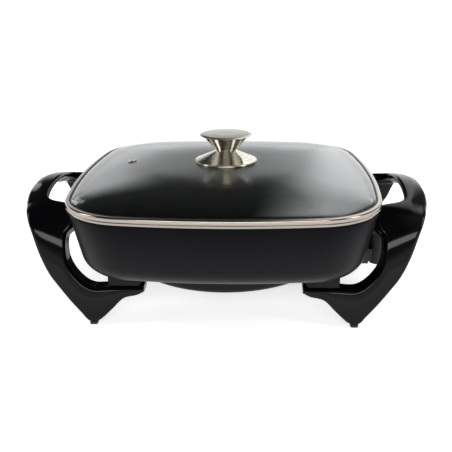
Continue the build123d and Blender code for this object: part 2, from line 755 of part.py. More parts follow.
def contact_sleeve(y):
    """Spring socket that takes one terminal pin, against the nose's front wall."""
    start = nose_tip_x + control_wall
    sleeve = rod_x(start, start + contact_length, y, heater_z, contact_outer_radius)
    return sleeve - rod_x(start - overrun, start + contact_length + overrun, y, heater_z,
                          pin_radius + contact_clearance)


def switch_block():
    """Thermostat switch on the floor of the lower shell."""
    return block(switch_inner_x, switch_outer_x, -switch_half_width, switch_half_width,
                 switch_floor_z, switch_top_z)


def switch_blade():
    """Bimetal blade on the switch, under the spindle."""
    return block(dial_x - blade_length / 2, dial_x + blade_length / 2, -blade_half_width, blade_half_width,
                 switch_top_z, switch_top_z + blade_thickness)


def pilot_lens():
    """Domed lens in the roof, with a flange inside."""
    roof_z = control_top_z - control_wall
    lens = rod_z(pilot_x, pilot_y, roof_z - pilot_flange, control_top_z + pilot_dome, pilot_radius)
    lens = fillet(lens.faces().sort_by(Axis.Z)[-1].edges(), pilot_dome)
    return lens + rod_z(pilot_x, pilot_y, roof_z - pilot_flange, roof_z, pilot_radius + pilot_flange)


def pilot_lamp():
    """Neon lamp under the lens."""
    top_z = control_top_z - control_wall - pilot_flange
    return rod_z(pilot_x, pilot_y, top_z - pilot_lamp_length, top_z, pilot_lamp_radius)


def cord_gland():
    """Grommet in the outer end wall, with a flange on each side of it."""
    start_x = control_outer_x - control_wall - gland_flange
    end_x = control_outer_x + gland_flange
    tube = rod_x(start_x, end_x, 0, gland_z, gland_radius)
    for x in (start_x, control_outer_x):
        tube = tube + rod_x(x, x + gland_flange, 0, gland_z, gland_radius + gland_flange)
    return tube - rod_x(start_x - overrun, end_x + overrun, 0, gland_z, gland_bore_radius)


def control_screws():
    """Two screws that close the housing from below."""
    return group(screw_z(x, y, control_screw_seat_z, control_screw_tip_z) for x, y in control_post_places())


def dial():
    """Temperature dial: a skirt and a fluted grip with a pointer, bored for its spindle."""
    skirt_z = dial_bottom_z + dial_skirt_height
    top_z = dial_bottom_z + dial_height
    skirt = rod_z(dial_x, 0, dial_bottom_z, skirt_z, dial_radius)
    skirt = fillet(skirt.faces().sort_by(Axis.Z)[-1].edges(), dial_skirt_height / 2)
    grip = rod_z(dial_x, 0, dial_bottom_z, top_z, dial_grip_radius)
    grip = fillet(grip.faces().sort_by(Axis.Z)[-1].edges(), dial_groove_radius)
    flutes = []
    for turn in range(dial_groove_count):
        angle = radians(360 * turn / dial_groove_count)
        x = dial_x + dial_grip_radius * cos(angle)
        y = dial_grip_radius * sin(angle)
        flutes.append(rod_z(x, y, skirt_z, top_z + overrun, dial_groove_radius))
    bore = rod_z(dial_x, 0, dial_bottom_z - overrun, spindle_top_z + fit_clearance,
                 spindle_radius + fit_clearance)
    return grip - fused(flutes) + skirt - bore


def dial_spindle():
    """Spindle from the dial down to the blade."""
    return rod_z(dial_x, 0, switch_top_z + blade_thickness + dial_gap, spindle_top_z, spindle_radius)


def mirrored(shape):
    """The left-hand copy of a right-hand shape."""
    return mirror(shape, about=Plane.YZ)


def pieces():
    """Every piece by its name."""
    lid_washer_z = dome_inner_top_z - knob_washer_thickness
    washer_bore = knob_screw_radius + fit_clearance
    right_handle = handle_right()
    right_screws = handle_screws()
    named = {
        "pan": pan(),
        "heating_element": heating_element(),
        "inlet_shroud": inlet_shroud(),
        "inlet_screws": inlet_screws(),
        "handle_right": right_handle,
        "handle_left": mirrored(right_handle),
        "handle_screws_right": right_screws,
        "handle_screws_left": mirrored(right_screws),
        "lid_glass": lid_glass(),
        "lid_rim": lid_rim(),
        "vent_eyelet": vent_eyelet(),
        "knob_base": knob_base(),
        "knob_top": knob_top(),
        "knob_washer": ring_z(dome_top_z, knob_base_z, knob_washer_radius, washer_bore),
        "knob_inner_washer": ring_z(lid_washer_z, dome_inner_top_z, knob_washer_radius, washer_bore),
        "knob_screw": knob_screw(),
        "control_upper_shell": control_half(heater_z, control_top_z + overrun),
        "control_lower_shell": control_half(control_bottom_z - overrun, heater_z),
        "probe_rod": probe_rod(),
        "switch_block": switch_block(),
        "switch_blade": switch_blade(),
        "pilot_lens": pilot_lens(),
        "pilot_lamp": pilot_lamp(),
        "cord_gland": cord_gland(),
        "control_screws": control_screws(),
        "dial": dial(),
        "dial_spindle": dial_spindle(),
    }
    for place, y in (("front", -heater_leg_y), ("back", heater_leg_y)):
        named["terminal_pin_" + place] = terminal_pin(y)
        named["terminal_insulator_" + place] = terminal_insulator(y)
        named["contact_sleeve_" + place] = contact_sleeve(y)
    pads = dict(zip(("back_right", "front_right", "back_left", "front_left"), four_ways(foot_pad())))
    for place, pad in pads.items():
        named["foot_pad_" + place] = pad
    return named


os.makedirs("parts", exist_ok=True)
for name, shape in pieces().items():
    export_step(shape, "parts/" + name + ".step")
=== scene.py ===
# %% [markdown]
# # A square electric skillet with a glass lid
# The vessel is a die-cast pan that hangs between two arched handles, whose legs are also its feet.
# A glass lid in a steel rim lies loose on it, and a control with a dial plugs into the right side.
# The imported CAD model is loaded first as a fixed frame: every piece below is worked out in the same
# place and at the same size, so nothing has to be fitted afterwards.

# %% Load the frame
import math
import bmesh
import bpy
import numpy as np
from mathutils import Matrix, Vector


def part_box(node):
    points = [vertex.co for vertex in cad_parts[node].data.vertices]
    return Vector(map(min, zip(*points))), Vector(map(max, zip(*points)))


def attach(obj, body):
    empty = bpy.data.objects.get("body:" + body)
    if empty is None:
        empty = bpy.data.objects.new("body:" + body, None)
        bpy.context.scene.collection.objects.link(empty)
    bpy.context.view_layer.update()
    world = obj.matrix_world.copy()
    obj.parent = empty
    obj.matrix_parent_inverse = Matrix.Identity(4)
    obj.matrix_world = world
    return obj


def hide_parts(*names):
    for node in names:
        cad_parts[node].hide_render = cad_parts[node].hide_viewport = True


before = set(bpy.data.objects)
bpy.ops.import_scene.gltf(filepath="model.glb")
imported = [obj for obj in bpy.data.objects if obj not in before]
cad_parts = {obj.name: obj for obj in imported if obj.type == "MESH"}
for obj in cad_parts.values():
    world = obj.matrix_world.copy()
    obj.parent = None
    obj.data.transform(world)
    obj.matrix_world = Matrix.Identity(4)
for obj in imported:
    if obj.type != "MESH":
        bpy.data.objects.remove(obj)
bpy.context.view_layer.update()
mm = 0.001

# %% [markdown]
# ## Camera
# The picture was taken a little to the right of the middle, with a normal lens that looks down by
# about 20 degrees. Where the square rim falls in a picture of 452 pixels fixes the focal length, the
# tilt and the slight roll, so the camera gets those values and needs no shift.

# %% Camera
picture_px = 452
focal_px = 658.1
sensor_mm = 36.0
camera_place = (29.4, -700.5, 325.8)
camera_turn_deg = 2.455
camera_tilt_deg = 70.085
camera_roll_deg = -0.417

camera = bpy.data.objects.new("camera", bpy.data.cameras.new("camera"))
camera.data.sensor_width = sensor_mm
camera.data.lens = sensor_mm * focal_px / picture_px
camera.location = [v * mm for v in camera_place]
camera.rotation_euler = (Matrix.Rotation(math.radians(camera_turn_deg), 3, "Z")
                         @ Matrix.Rotation(math.radians(camera_tilt_deg), 3, "X")
                         @ Matrix.Rotation(math.radians(camera_roll_deg), 3, "Z")).to_euler()
bpy.context.scene.collection.objects.link(camera)
bpy.context.scene.camera = camera
bpy.context.scene.view_settings.view_transform = "Standard"
print("lens in mm:", round(camera.data.lens, 2))

# %% [markdown]
# ## Helpers for nodes, colours and finishes
# A material is a small graph. One function adds a node with its settings and links, so every material
# below reads as a list of what is joined to what. Colours are picked as sRGB hex values, as on a
# screen, but a renderer works in linear light, so one function turns them over. The last one joins
# the three threads that nearly every finish has: a tone, a gloss and a relief.


# %% Node and colour helpers
def add(tree, kind, settings=None, links=None):
    """Adds a node; settings go to its sockets or properties, links join other nodes' outputs to it."""
    made = tree.nodes.new(kind)
    for key, value in (settings or {}).items():
        if isinstance(key, int) or key in made.inputs:
            made.inputs[key].default_value = value
        else:
            setattr(made, key, value)
    for key, source in (links or {}).items():
        tree.links.new(source, made.inputs[key])
    return made


def linear(hex_colour):
    """sRGB hex to linear RGBA: each channel is v / 12.92 near black, else ((v + 0.055) / 1.055) ** 2.4."""
    channels = np.array([int(hex_colour[i:i + 2], 16) for i in (1, 3, 5)]) / 255
    curved = ((channels + 0.055) / 1.055) ** 2.4
    return (*np.where(channels > 0.04045, curved, channels / 12.92).tolist(), 1.0)


def per(size_mm):
    """Texture scale, in repeats per metre, of a pattern whose grain is size_mm wide."""
    return 1 / (size_mm * mm)


def new_material(name, **sockets):
    """A material with one Principled shader; uniform values are set on its sockets. Returns all three."""
    made = bpy.data.materials.new(name)
    made.use_nodes = True
    tree = made.node_tree
    tree.nodes.clear()
    shader = add(tree, "ShaderNodeBsdfPrincipled", {k.replace("_", " "): v for k, v in sockets.items()})
    add(tree, "ShaderNodeOutputMaterial", links={"Surface": shader.outputs[0]})
    return made, tree, shader


def dressed(made, shader, colours, gloss, bump, tone_by, gloss_by, relief_by):
    """Three threads of a finish: a tone between two colours, a gloss over a range and a relief of a given
    strength and depth in metres, each led by a pattern. In a Mix node, sockets 6 and 7 are the two colours
    and output 2 is their mix."""
    tree = made.node_tree
    tone = add(tree, "ShaderNodeMix", {"data_type": "RGBA", 6: linear(colours[0]), 7: linear(colours[1])},
               {0: tone_by})
    sheen = add(tree, "ShaderNodeMapRange", {"To Min": gloss[0], "To Max": gloss[1]}, {0: gloss_by})
    relief = add(tree, "ShaderNodeBump", {"Strength": bump[0], "Distance": bump[1]}, {"Height": relief_by})
    for source, socket in ((tone.outputs[2], "Base Color"), (sheen.outputs[0], "Roughness"),
                           (relief.outputs[0], "Normal")):
        tree.links.new(source, shader.inputs[socket])
    print("made", made.name)


print("black plastic in linear light:", [round(v, 4) for v in linear("#0d0d10")])

# %% [markdown]
# ## Stage and light
# A white floor in a plain room that is bright low down, most of all behind, and dark overhead. Black
# gloss and glass only show what they mirror, so the room draws the forms: the flat top of the lid
# mirrors the bright band behind, its front slope the dark ceiling, its sides the glow on either hand.
# One long softbox in front draws the light line across the knees of the handles. The floor glows a
# little, more so far off where no softbox reaches, so that it stays white to its edge.


# %% Softboxes
def softbox(name, place, aim, size, power):
    """An area light at place, in metres, turned to face the point aim."""
    lamp = bpy.data.lights.new(name, "AREA")
    lamp.shape = "RECTANGLE"
    lamp.size, lamp.size_y = size
    lamp.energy = power
    made = bpy.data.objects.new(name, lamp)
    made.location = place
    aim_way = np.subtract(aim, place)
    pitch = math.atan2(math.hypot(aim_way[0], aim_way[1]), -aim_way[2])
    made.rotation_euler = (pitch, 0, math.atan2(-aim_way[0], aim_way[1]))
    bpy.context.scene.collection.objects.link(made)


pan_middle = (0, 0, 0.1)
left_grip = (-0.2, 0, 0.12)
softboxes = [
    # name, place, aim, size in metres, power in watts
    ("front_softbox", (0.1, -2.4, 1.25), pan_middle, (2.4, 0.6), 34),
    ("left_softbox", (-1.6, -0.2, 1.0), pan_middle, (0.4, 1.0), 8),
    ("back_left_strip", (-1.45, 1.75, 0.8), left_grip, (0.3, 0.7), 1.1),
    ("right_softbox", (1.6, -0.5, 1.0), pan_middle, (0.5, 1.0), 9)]
for values in softboxes:
    softbox(*values)
print("softboxes:", ", ".join(values[0] for values in softboxes))

# %% [markdown]
# The room is painted by direction alone. Each of its glows is a product of fades, and each fade names
# the part of the direction that it follows, where it starts and ends, and how bright it is there.
# Where glows overlap the brightest shows, and a faint ceiling light is added to all of them.

# %% Room
side_fade = ("Y", -0.1, 0.6, 0.12, 1.0)
room_glows = {
    "back_band": [("Z", 0.13, 0.35, 1.0, 0.0), ("Y", -0.5, 0.5, 0.14, 1.1)],
    "horizon": [("Z", 0.09, 0.13, 1.05, 0.0)],
    "right_glow": [("X", 0.01, 0.2, 0.0, 1.5), ("X", 0.4, 0.55, 1.0, 0.1), side_fade,
                   ("Z", 0.5, 0.9, 1.0, 1.9), ("Z", 0.93, 0.99, 1.0, 0.0)],
    "left_glow": [("X", -0.11, -0.28, 0.0, 0.9), ("X", -0.33, -0.45, 1.0, 0.25), side_fade,
                  ("Z", 0.25, 0.47, 1.0, 0.0)]}
ceiling_fade = ("Z", 0.2, 1.0, 0.07, 0.05)

room = bpy.data.worlds.new("pale_room")
room.use_nodes = True
tree = room.node_tree
tree.nodes.clear()
way = add(tree, "ShaderNodeSeparateXYZ", links={0: add(tree, "ShaderNodeTexCoord").outputs["Generated"]})


def faded(part, start, end, first, last):
    """A smooth change of brightness from first to last as a part of the direction goes from start to end."""
    values = {"From Min": start, "From Max": end, "To Min": first, "To Max": last}
    return add(tree, "ShaderNodeMapRange", {"interpolation_type": "SMOOTHSTEP", **values},
               {0: way.outputs[part]}).outputs[0]


def chained(operation, numbers):
    """One number from many: each node works on what came before it and the next number."""
    total = numbers[0]
    for number in numbers[1:]:
        total = add(tree, "ShaderNodeMath", {"operation": operation}, {0: total, 1: number}).outputs[0]
    return total


brightest = chained("MAXIMUM", [chained("MULTIPLY", [faded(*fade) for fade in fades])
                                for fades in room_glows.values()])
room_glow = chained("ADD", [brightest, faded(*ceiling_fade)])
room_light = add(tree, "ShaderNodeBackground", {0: linear("#fdfeff")}, {"Strength": room_glow})
add(tree, "ShaderNodeOutputWorld", links={0: room_light.outputs[0]})
bpy.context.scene.world = room
print("room made of", len(tree.nodes), "nodes")

# %% Floor
floor_half = 12.0
floor_grain_mm = 60.0
floor_glow_reach = (0.4, 2.5)
floor_glow = (0.66, 0.97)
floor_corners = [(x * floor_half, y * floor_half, 0) for x, y in ((-1, -1), (1, -1), (1, 1), (-1, 1))]
floor_mesh = bpy.data.meshes.new("floor")
floor_mesh.from_pydata(floor_corners, [], [(0, 1, 2, 3)])
floor = bpy.data.objects.new("floor", floor_mesh)
bpy.context.scene.collection.objects.link(floor)
floor_paint, tree, shader = new_material("lit_white_floor", Roughness=0.8, Specular_IOR_Level=0.1,
                                         Emission_Color=linear("#ffffff"))
where = add(tree, "ShaderNodeTexCoord").outputs["Object"]
grain = add(tree, "ShaderNodeTexNoise", {"Scale": per(floor_grain_mm), "Detail": 4.0}, {0: where})
tone = add(tree, "ShaderNodeMix", {"data_type": "RGBA", 6: linear("#f2f2f2"), 7: linear("#f7f7f6")},
           {0: grain.outputs[0]})
tree.links.new(tone.outputs[2], shader.inputs["Base Color"])
far = add(tree, "ShaderNodeVectorMath", {"operation": "LENGTH"}, {0: where}).outputs["Value"]
lift = add(tree, "ShaderNodeMapRange", {"From Min": floor_glow_reach[0], "From Max": floor_glow_reach[1],
                                        "To Min": floor_glow[0], "To Max": floor_glow[1]}, {0: far})
tree.links.new(lift.outputs[0], shader.inputs["Emission Strength"])
floor_mesh.materials.append(floor_paint)
print("floor half width in m:", floor_half)

# %% [markdown]
# ## Materials of the vessel and handles
# The pan is cast aluminium with a sprayed and baked coating: a satin charcoal with a fine mineral
# speckle and the slight orange peel of a sprayed film. The handles are compression-moulded phenolic,
# nearly black and polished by the mould, with faint flow marks and a little wear in the gloss.

# %% Sprayed coating
speckle_mm = 0.9
peel_mm = 3.5
top_shade_z = (0.062, 0.126)
top_shade_shine = (0.17, 0.03)
# A satin black: the peel breaks up its shine. Toward the flange its shine is turned down, a painted shade
# that keeps the upper wall darker than the lower.
coating, tree, shader = new_material("sprayed_nonstick_coating", Specular_IOR_Level=top_shade_shine[0])
where = add(tree, "ShaderNodeTexCoord").outputs["Object"]
speckle = add(tree, "ShaderNodeTexNoise", {"Scale": per(speckle_mm), "Detail": 3.0}, {0: where}).outputs[0]
peel = add(tree, "ShaderNodeTexNoise", {"Scale": per(peel_mm), "Detail": 2.0}, {0: where}).outputs[0]
height = add(tree, "ShaderNodeSeparateXYZ", links={0: where}).outputs["Z"]
# Painted shade: the specular level falls from the lower wall up to the flange, which darkens the top of the
# wall.
shine = add(tree, "ShaderNodeMapRange", {"From Min": top_shade_z[0], "From Max": top_shade_z[1],
                                         "To Min": top_shade_shine[0], "To Max": top_shade_shine[1]}, {0: height})
tree.links.new(shine.outputs[0], shader.inputs["Specular IOR Level"])
dressed(coating, shader, colours=("#070709", "#0f0f13"), gloss=(0.32, 0.42), bump=(0.25, 0.0002),
        tone_by=speckle, gloss_by=peel, relief_by=peel)

# %% Polished phenolic
flow_mm = 26.0
haze_mm = 7.0
# Almost black, with a mirror gloss that a slight haze and the flow of the resin keep from being perfect.
phenolic, tree, shader = new_material("moulded_black_phenolic", IOR=1.5, Specular_IOR_Level=0.18)
where = add(tree, "ShaderNodeTexCoord").outputs["Object"]
flow = add(tree, "ShaderNodeTexNoise", {"Scale": per(flow_mm), "Detail": 5.0, "Distortion": 1.2},
           {0: where}).outputs[0]
haze = add(tree, "ShaderNodeTexNoise", {"Scale": per(haze_mm), "Detail": 6.0}, {0: where}).outputs[0]
dressed(phenolic, shader, colours=("#030304", "#060608"), gloss=(0.07, 0.13), bump=(0.04, 0.0003),
        tone_by=flow, gloss_by=haze, relief_by=flow)

# %% [markdown]
# ## Materials of the lid
# The glass is tempered soda-lime glass with a faint grey-green body. Its rim is a strip of stainless
# steel, rolled to a channel and polished, so its fine lines run along the strip. The knob is turned
# from stainless steel, and the tool leaves rings round its axis.

# %% Tempered glass
smear_mm = 30.0
smear_gloss = (0.03, 0.07)
haze_reach_mm = (45.0, 120.0)
haze_gloss = 0.265
# Clear, with faint smears. Hands and steam leave it hazier round the knob, so what it mirrors is soft there.
tempered, tree, shader = new_material("tempered_glass", IOR=1.52, Transmission_Weight=1.0)
where = add(tree, "ShaderNodeTexCoord").outputs["Object"]
smear = add(tree, "ShaderNodeTexNoise", {"Scale": per(smear_mm), "Detail": 4.0, "Distortion": 0.8},
            {0: where})
gloss = add(tree, "ShaderNodeMapRange", {"From Min": 0.5, "From Max": 0.8, "To Min": smear_gloss[0],
                                         "To Max": smear_gloss[1]}, {0: smear.outputs[0]})
level = add(tree, "ShaderNodeVectorMath", {"operation": "MULTIPLY", 1: (1.0, 1.0, 0.0)}, {0: where})
reach = add(tree, "ShaderNodeVectorMath", {"operation": "LENGTH"}, {0: level.outputs[0]}).outputs["Value"]
haze = add(tree, "ShaderNodeMapRange", {"interpolation_type": "SMOOTHSTEP", "From Min": haze_reach_mm[0] * mm,
                                        "From Max": haze_reach_mm[1] * mm, "To Min": haze_gloss,
                                        "To Max": 0.0}, {0: reach})
gloss = add(tree, "ShaderNodeMath", {"operation": "MAXIMUM"}, {0: gloss.outputs[0], 1: haze.outputs[0]})
tone = add(tree, "ShaderNodeMix", {"data_type": "RGBA", 6: linear("#c3c9c8"), 7: linear("#bcc3c2")},
           {0: smear.outputs[0]})
tree.links.new(tone.outputs[2], shader.inputs["Base Color"])
tree.links.new(gloss.outputs[0], shader.inputs["Roughness"])
print("made", tempered.name)

# %% Rolled stainless strip
strip_line_mm = 0.35
strip_run_mm = 60.0
# Rolling and polishing draw fine lines along the strip, which stretch what it mirrors into streaks. They
# are drawn coarser than the real ones, which are under a tenth of a millimetre wide.
strip, tree, shader = new_material("rolled_stainless_strip", Metallic=1.0)
along = add(tree, "ShaderNodeUVMap", {"uv_map": "surface"}).outputs[0]
lines = add(tree, "ShaderNodeMapping", {"Scale": (per(strip_line_mm), per(strip_run_mm), 1.0)}, {0: along})
lines = add(tree, "ShaderNodeTexNoise", {"Scale": 1.0, "Detail": 2.0}, {0: lines.outputs[0]}).outputs[0]
dressed(strip, shader, colours=("#948b83", "#aea69e"), gloss=(0.1, 0.17), bump=(0.02, 0.0001),
        tone_by=lines, gloss_by=lines, relief_by=lines)

# %% Turned stainless
tool_ring_mm = 4.737
# Rings of the turning tool. The real ones are a few tenths of a millimetre apart, too fine to show, so
# they are drawn coarser. At a scale of 1, a wave texture repeats every pi / 10 units.
turned, tree, shader = new_material("turned_stainless", Metallic=1.0)
where = add(tree, "ShaderNodeTexCoord").outputs["Object"]
rings = add(tree, "ShaderNodeTexWave", {"wave_type": "RINGS", "rings_direction": "Z", "Distortion": 0.6,
                                        "Scale": per(tool_ring_mm) * math.pi / 10}, {0: where}).outputs[1]
dressed(turned, shader, colours=("#bdb8ab", "#c8c3b7"), gloss=(0.13, 0.2), bump=(0.02, 0.0001),
        tone_by=rings, gloss_by=rings, relief_by=rings)

# %% [markdown]
# ## Materials of the small pieces
# Rubber, grained plastic, brass, plated steel, ceramic and the amber lens differ in colour, gloss and
# the size of their grain, but in each a tone, a gloss and a relief all follow one grain. One function
# builds that graph from the material's own values. Grains of less than a millimetre are drawn coarser
# than the real ones, which would be too fine to show.

# %% Grained materials
grain_depth = 0.0002


def grained(name, dark, light, grain_mm, gloss, bump=0.2, **sockets):
    """Colour from dark to light, gloss over a range and a fine relief, all led by one noise grain."""
    made, tree, shader = new_material(name, **sockets)
    where = add(tree, "ShaderNodeTexCoord").outputs["Object"]
    grain = add(tree, "ShaderNodeTexNoise", {"Scale": per(grain_mm), "Detail": 4.0}, {0: where}).outputs[0]
    dressed(made, shader, (dark, light), gloss, (bump, grain_depth), grain, grain, grain)
    return made


# Rubber and silicone are dull and slightly mealy.
rubber = grained("moulded_black_rubber", "#121212", "#1e1e1e", 0.8, (0.6, 0.8))
silicone = grained("moulded_silicone", "#161616", "#202020", 1.5, (0.45, 0.6), 0.1)
# The housing's mould was spark-eroded, which leaves a fine matt grain, and the dial's was polished.
spark_grain = grained("spark_grained_abs", "#131315", "#1e1e21", 0.7, (0.42, 0.6), 0.35)
dial_gloss = grained("moulded_gloss_abs", "#0c0c0e", "#151518", 5.0, (0.18, 0.3), 0.05)
matt_phenolic = grained("matt_black_phenolic", "#141414", "#1f1f1f", 1.0, (0.45, 0.62))
# Plated and drawn metals are bright but a little clouded, with the colour of the metal in what they mirror.
zinc_steel = grained("zinc_plated_steel", "#9b9b98", "#b9b9b4", 2.0, (0.25, 0.42), 0.08, Metallic=1.0)
nickel_pin = grained("nickel_plated_brass", "#c2bca8", "#d6d1c0", 1.5, (0.16, 0.28), 0.05, Metallic=1.0)
drawn_steel = grained("drawn_stainless_tube", "#8d8a86", "#a9a6a0", 1.2, (0.28, 0.45), 0.1, Metallic=1.0)
brass = grained("stamped_brass", "#a8843c", "#c9a356", 2.0, (0.22, 0.38), 0.08, Metallic=1.0)
# Fired ceramic is chalky, the lens and the lamp are clear, and printed ink is flat and slightly rough.
steatite = grained("fired_steatite", "#cfc6b2", "#e2dac8", 1.2, (0.4, 0.6), 0.15)
amber = grained("clear_amber_acrylic", "#e08a1e", "#f0a030", 4.0, (0.05, 0.12), 0.03,
                Transmission_Weight=0.7, IOR=1.49)
lamp_glass = grained("blown_lamp_glass", "#e8e0d8", "#f4eee6", 3.0, (0.02, 0.06), 0.02,
                     Transmission_Weight=1.0, IOR=1.5)
ink = grained("white_pad_print", "#d6d6d2", "#e6e6e2", 0.5, (0.5, 0.65), 0.1)
print("materials so far:", len(bpy.data.materials))

# %% [markdown]
# ## Surfaces on grids
# Every new piece is one or more grids of points. Each row is a ring or a section, each column a line
# along the piece, and a grid may close on itself either way. The helper turns grids into one mesh:
# it writes all faces at once, merges what meets at seams and poles, turns the faces outwards and
# keeps edges crisp only where the surface really bends.


# %% Faces and surface coordinates of a grid
def grid_faces(shape, close_rows, close_columns, first):
    """Corner numbers of all quads of a grid of points, whose numbering starts at first."""
    rows, columns = shape
    number = first + np.arange(rows * columns).reshape(rows, columns)
    below = np.roll(number, -1, axis=0)
    quads = np.stack([number, below, np.roll(below, -1, axis=1), np.roll(number, -1, axis=1)], axis=-1)
    quads = quads if close_rows else quads[:-1]
    quads = quads if close_columns else quads[:, :-1]
    return quads.reshape(-1, 4)


def grid_lengths(points):
    """Surface coordinates in metres: the mean distance down the columns (u) and along the rows (v)."""
    down = np.linalg.norm(np.diff(points, axis=0, append=points[:1]), axis=2).mean(axis=1)
    across = np.linalg.norm(np.diff(points, axis=1, append=points[:, :1]), axis=2).mean(axis=0)
    return np.append(0, np.cumsum(down)), np.append(0, np.cumsum(across))


def grid_uv(points, close_rows, close_columns):
    """Surface coordinates of the four corners of each quad, in the order that grid_faces uses."""
    u, v = grid_lengths(points)
    rows = len(points) if close_rows else len(points) - 1
    columns = points.shape[1] if close_columns else points.shape[1] - 1
    row, column = np.meshgrid(np.arange(rows), np.arange(columns), indexing="ij")
    corner_u = np.stack([u[row], u[row + 1], u[row + 1], u[row]], axis=-1)
    corner_v = np.stack([v[column], v[column], v[column + 1], v[column + 1]], axis=-1)
    return np.stack([corner_u, corner_v], axis=-1).reshape(-1, 2)


print("faces of a closed strip of 2 x 4 points:", grid_faces((2, 4), False, True, 0).tolist())

# %% A piece from its grids
merge_distance = 0.002 * mm
print("points are merged within", merge_distance, "m")


def piece(name, grids, material, body, nodes=(), crisp_deg=35):
    """One mesh object from grids of (points in mm, close_rows, close_columns), which rides on a body and
    stands for the CAD nodes that are named. Edges sharper than crisp_deg stay crisp."""
    starts = np.cumsum([0] + [points.shape[0] * points.shape[1] for points, _, _ in grids])
    corners = np.concatenate([points.reshape(-1, 3) for points, _, _ in grids]) * mm
    faces = [grid_faces(p.shape[:2], r, c, first) for (p, r, c), first in zip(grids, starts)]
    uv = np.concatenate([grid_uv(p * mm, r, c) for p, r, c in grids])
    mesh = bpy.data.meshes.new(name)
    mesh.from_pydata(corners.tolist(), [], np.concatenate(faces).tolist())
    mesh.uv_layers.new(name="surface").data.foreach_set("uv", uv.ravel())
    shape = bmesh.new()
    shape.from_mesh(mesh)
    bmesh.ops.remove_doubles(shape, verts=shape.verts, dist=merge_distance)
    bmesh.ops.dissolve_degenerate(shape, edges=shape.edges, dist=merge_distance)
    bmesh.ops.recalc_face_normals(shape, faces=shape.faces)
    shape.to_mesh(mesh)
    shape.free()
    mesh.polygons.foreach_set("use_smooth", np.ones(len(mesh.polygons), bool))
    mesh.set_sharp_from_angle(angle=math.radians(crisp_deg))
    mesh.materials.append(material)
    made = bpy.data.objects.new(name, mesh)
    bpy.context.scene.collection.objects.link(made)
    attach(made, body)
    if nodes:
        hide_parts(*nodes)
    print(name, len(mesh.polygons), "faces")


# %% Rounded outlines
longest_reach_share = 0.49


def rounded(corners, radii, steps=6):
    """A polyline whose inner corners are arcs: the rational curve
    ((1-t)^2 a + 2 w t (1-t) p + t^2 b) / ((1-t)^2 + 2 w t (1-t) + t^2), with w the sine of half the
    corner's angle, is the circle that touches both edges at a and b."""
    corners = np.asarray(corners, float)
    p = corners[1:-1]
    back, on = corners[:-2] - p, corners[2:] - p
    back_length = np.linalg.norm(back, axis=1, keepdims=True)
    on_length = np.linalg.norm(on, axis=1, keepdims=True)
    back, on = back / back_length, on / on_length
    half = np.arccos(np.clip((back * on).sum(axis=1, keepdims=True), -1, 1)) / 2
    reach = np.reshape(radii, (-1, 1)) / np.tan(half)
    reach = np.minimum(reach, longest_reach_share * np.minimum(back_length, on_length))
    t = np.linspace(0, 1, steps)[None, :, None]
    w = np.sin(half)[:, :, None]
    a, b, p = (p + back * reach)[:, None], (p + on * reach)[:, None], p[:, None]
    to_a, to_p, to_b = (1 - t) ** 2, 2 * w * t * (1 - t), t ** 2
    arcs = (to_a * a + to_p * p + to_b * b) / (to_a + to_p + to_b)
    return np.vstack([corners[:1], arcs.reshape(-1, corners.shape[1]), corners[-1:]])


def rounded_loop(corners, radii, steps=6):
    """The same for a closed outline, with one radius per corner."""
    corners = np.asarray(corners, float)
    wrapped = np.vstack([corners[-1:], corners, corners[:1]])
    return rounded(wrapped, radii, steps)[1:-1]


def smooth_step(value, low, high):
    """0 below low, 1 above high and 3t^2 - 2t^3 between."""
    t = np.clip((value - low) / (high - low), 0, 1)
    return t * t * (3 - 2 * t)


print("a unit corner rounded by 0.2:", rounded([(0, 0), (1, 0), (1, 1)], [0.2], 3).round(2).tolist())

# %% [markdown]
# ## The bowed square
# Seen from above, the rim, the flange and the walls share one outline: a square with slightly bowed
# sides and large round corners. It is made of arcs that touch, so it is written by the direction that
# its edge faces: each point is the centre of its arc plus the radius in that direction. An inset only
# shortens the radius, so all outlines stay parallel.

# %% Plan outline
rim_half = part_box("lid_rim")[1].x / mm
bow_radius = 700.0
corner_radius = 70.0
corner_centre = (-(bow_radius - rim_half) + math.sqrt(
    2 * (bow_radius - corner_radius) ** 2 - (bow_radius - rim_half) ** 2)) / 2
bow_angle = math.asin(corner_centre / (bow_radius - corner_radius))
outline_count = 288

arc_lengths = [2 * bow_angle * bow_radius, (math.pi / 2 - 2 * bow_angle) * corner_radius] * 4
arc_turns = [2 * bow_angle, math.pi / 2 - 2 * bow_angle] * 4
walk = np.linspace(0, sum(arc_lengths), outline_count, endpoint=False)
facing = np.interp(walk, np.append(0, np.cumsum(arc_lengths)),
                   np.append(0, np.cumsum(arc_turns)) - bow_angle)


def bowed_square(inset):
    """Outline points c + r (cos a, sin a): a is where the edge faces, c and r the centre and the radius
    of its side or corner arc, with the radius shortened by inset."""
    inset = np.asarray(inset, float)[..., None]
    quarter = np.round(facing / (math.pi / 2)) * (math.pi / 2)
    on_side = np.abs(facing - quarter) < bow_angle
    cos, sin = np.cos(facing), np.sin(facing)
    centre_x = np.where(on_side, -(bow_radius - rim_half) * np.cos(quarter), corner_centre * np.sign(cos))
    centre_y = np.where(on_side, -(bow_radius - rim_half) * np.sin(quarter), corner_centre * np.sign(sin))
    radius = np.where(on_side, bow_radius, corner_radius) - inset
    return np.stack([centre_x + radius * cos, centre_y + radius * sin], axis=-1)


def levelled(rings, levels):
    """Rings of plan points (x, y), each lifted to its own level."""
    heights = np.broadcast_to(np.reshape(levels, (-1, 1, 1)), (*rings.shape[:2], 1))
    return np.concatenate([rings, heights], axis=2)


def ring_of(profile):
    """Carries a profile of (inset, height) round the bowed square: one row per profile point."""
    return levelled(bowed_square(profile[:, 0]), profile[:, 1])


def toward_middle(row, shares):
    """Rows that shrink one ring toward its own middle, to close a floor: share 1 is the ring, 0 a point."""
    middle = row.mean(axis=0)
    return middle + (row - middle) * np.reshape(shares, (-1, 1, 1))


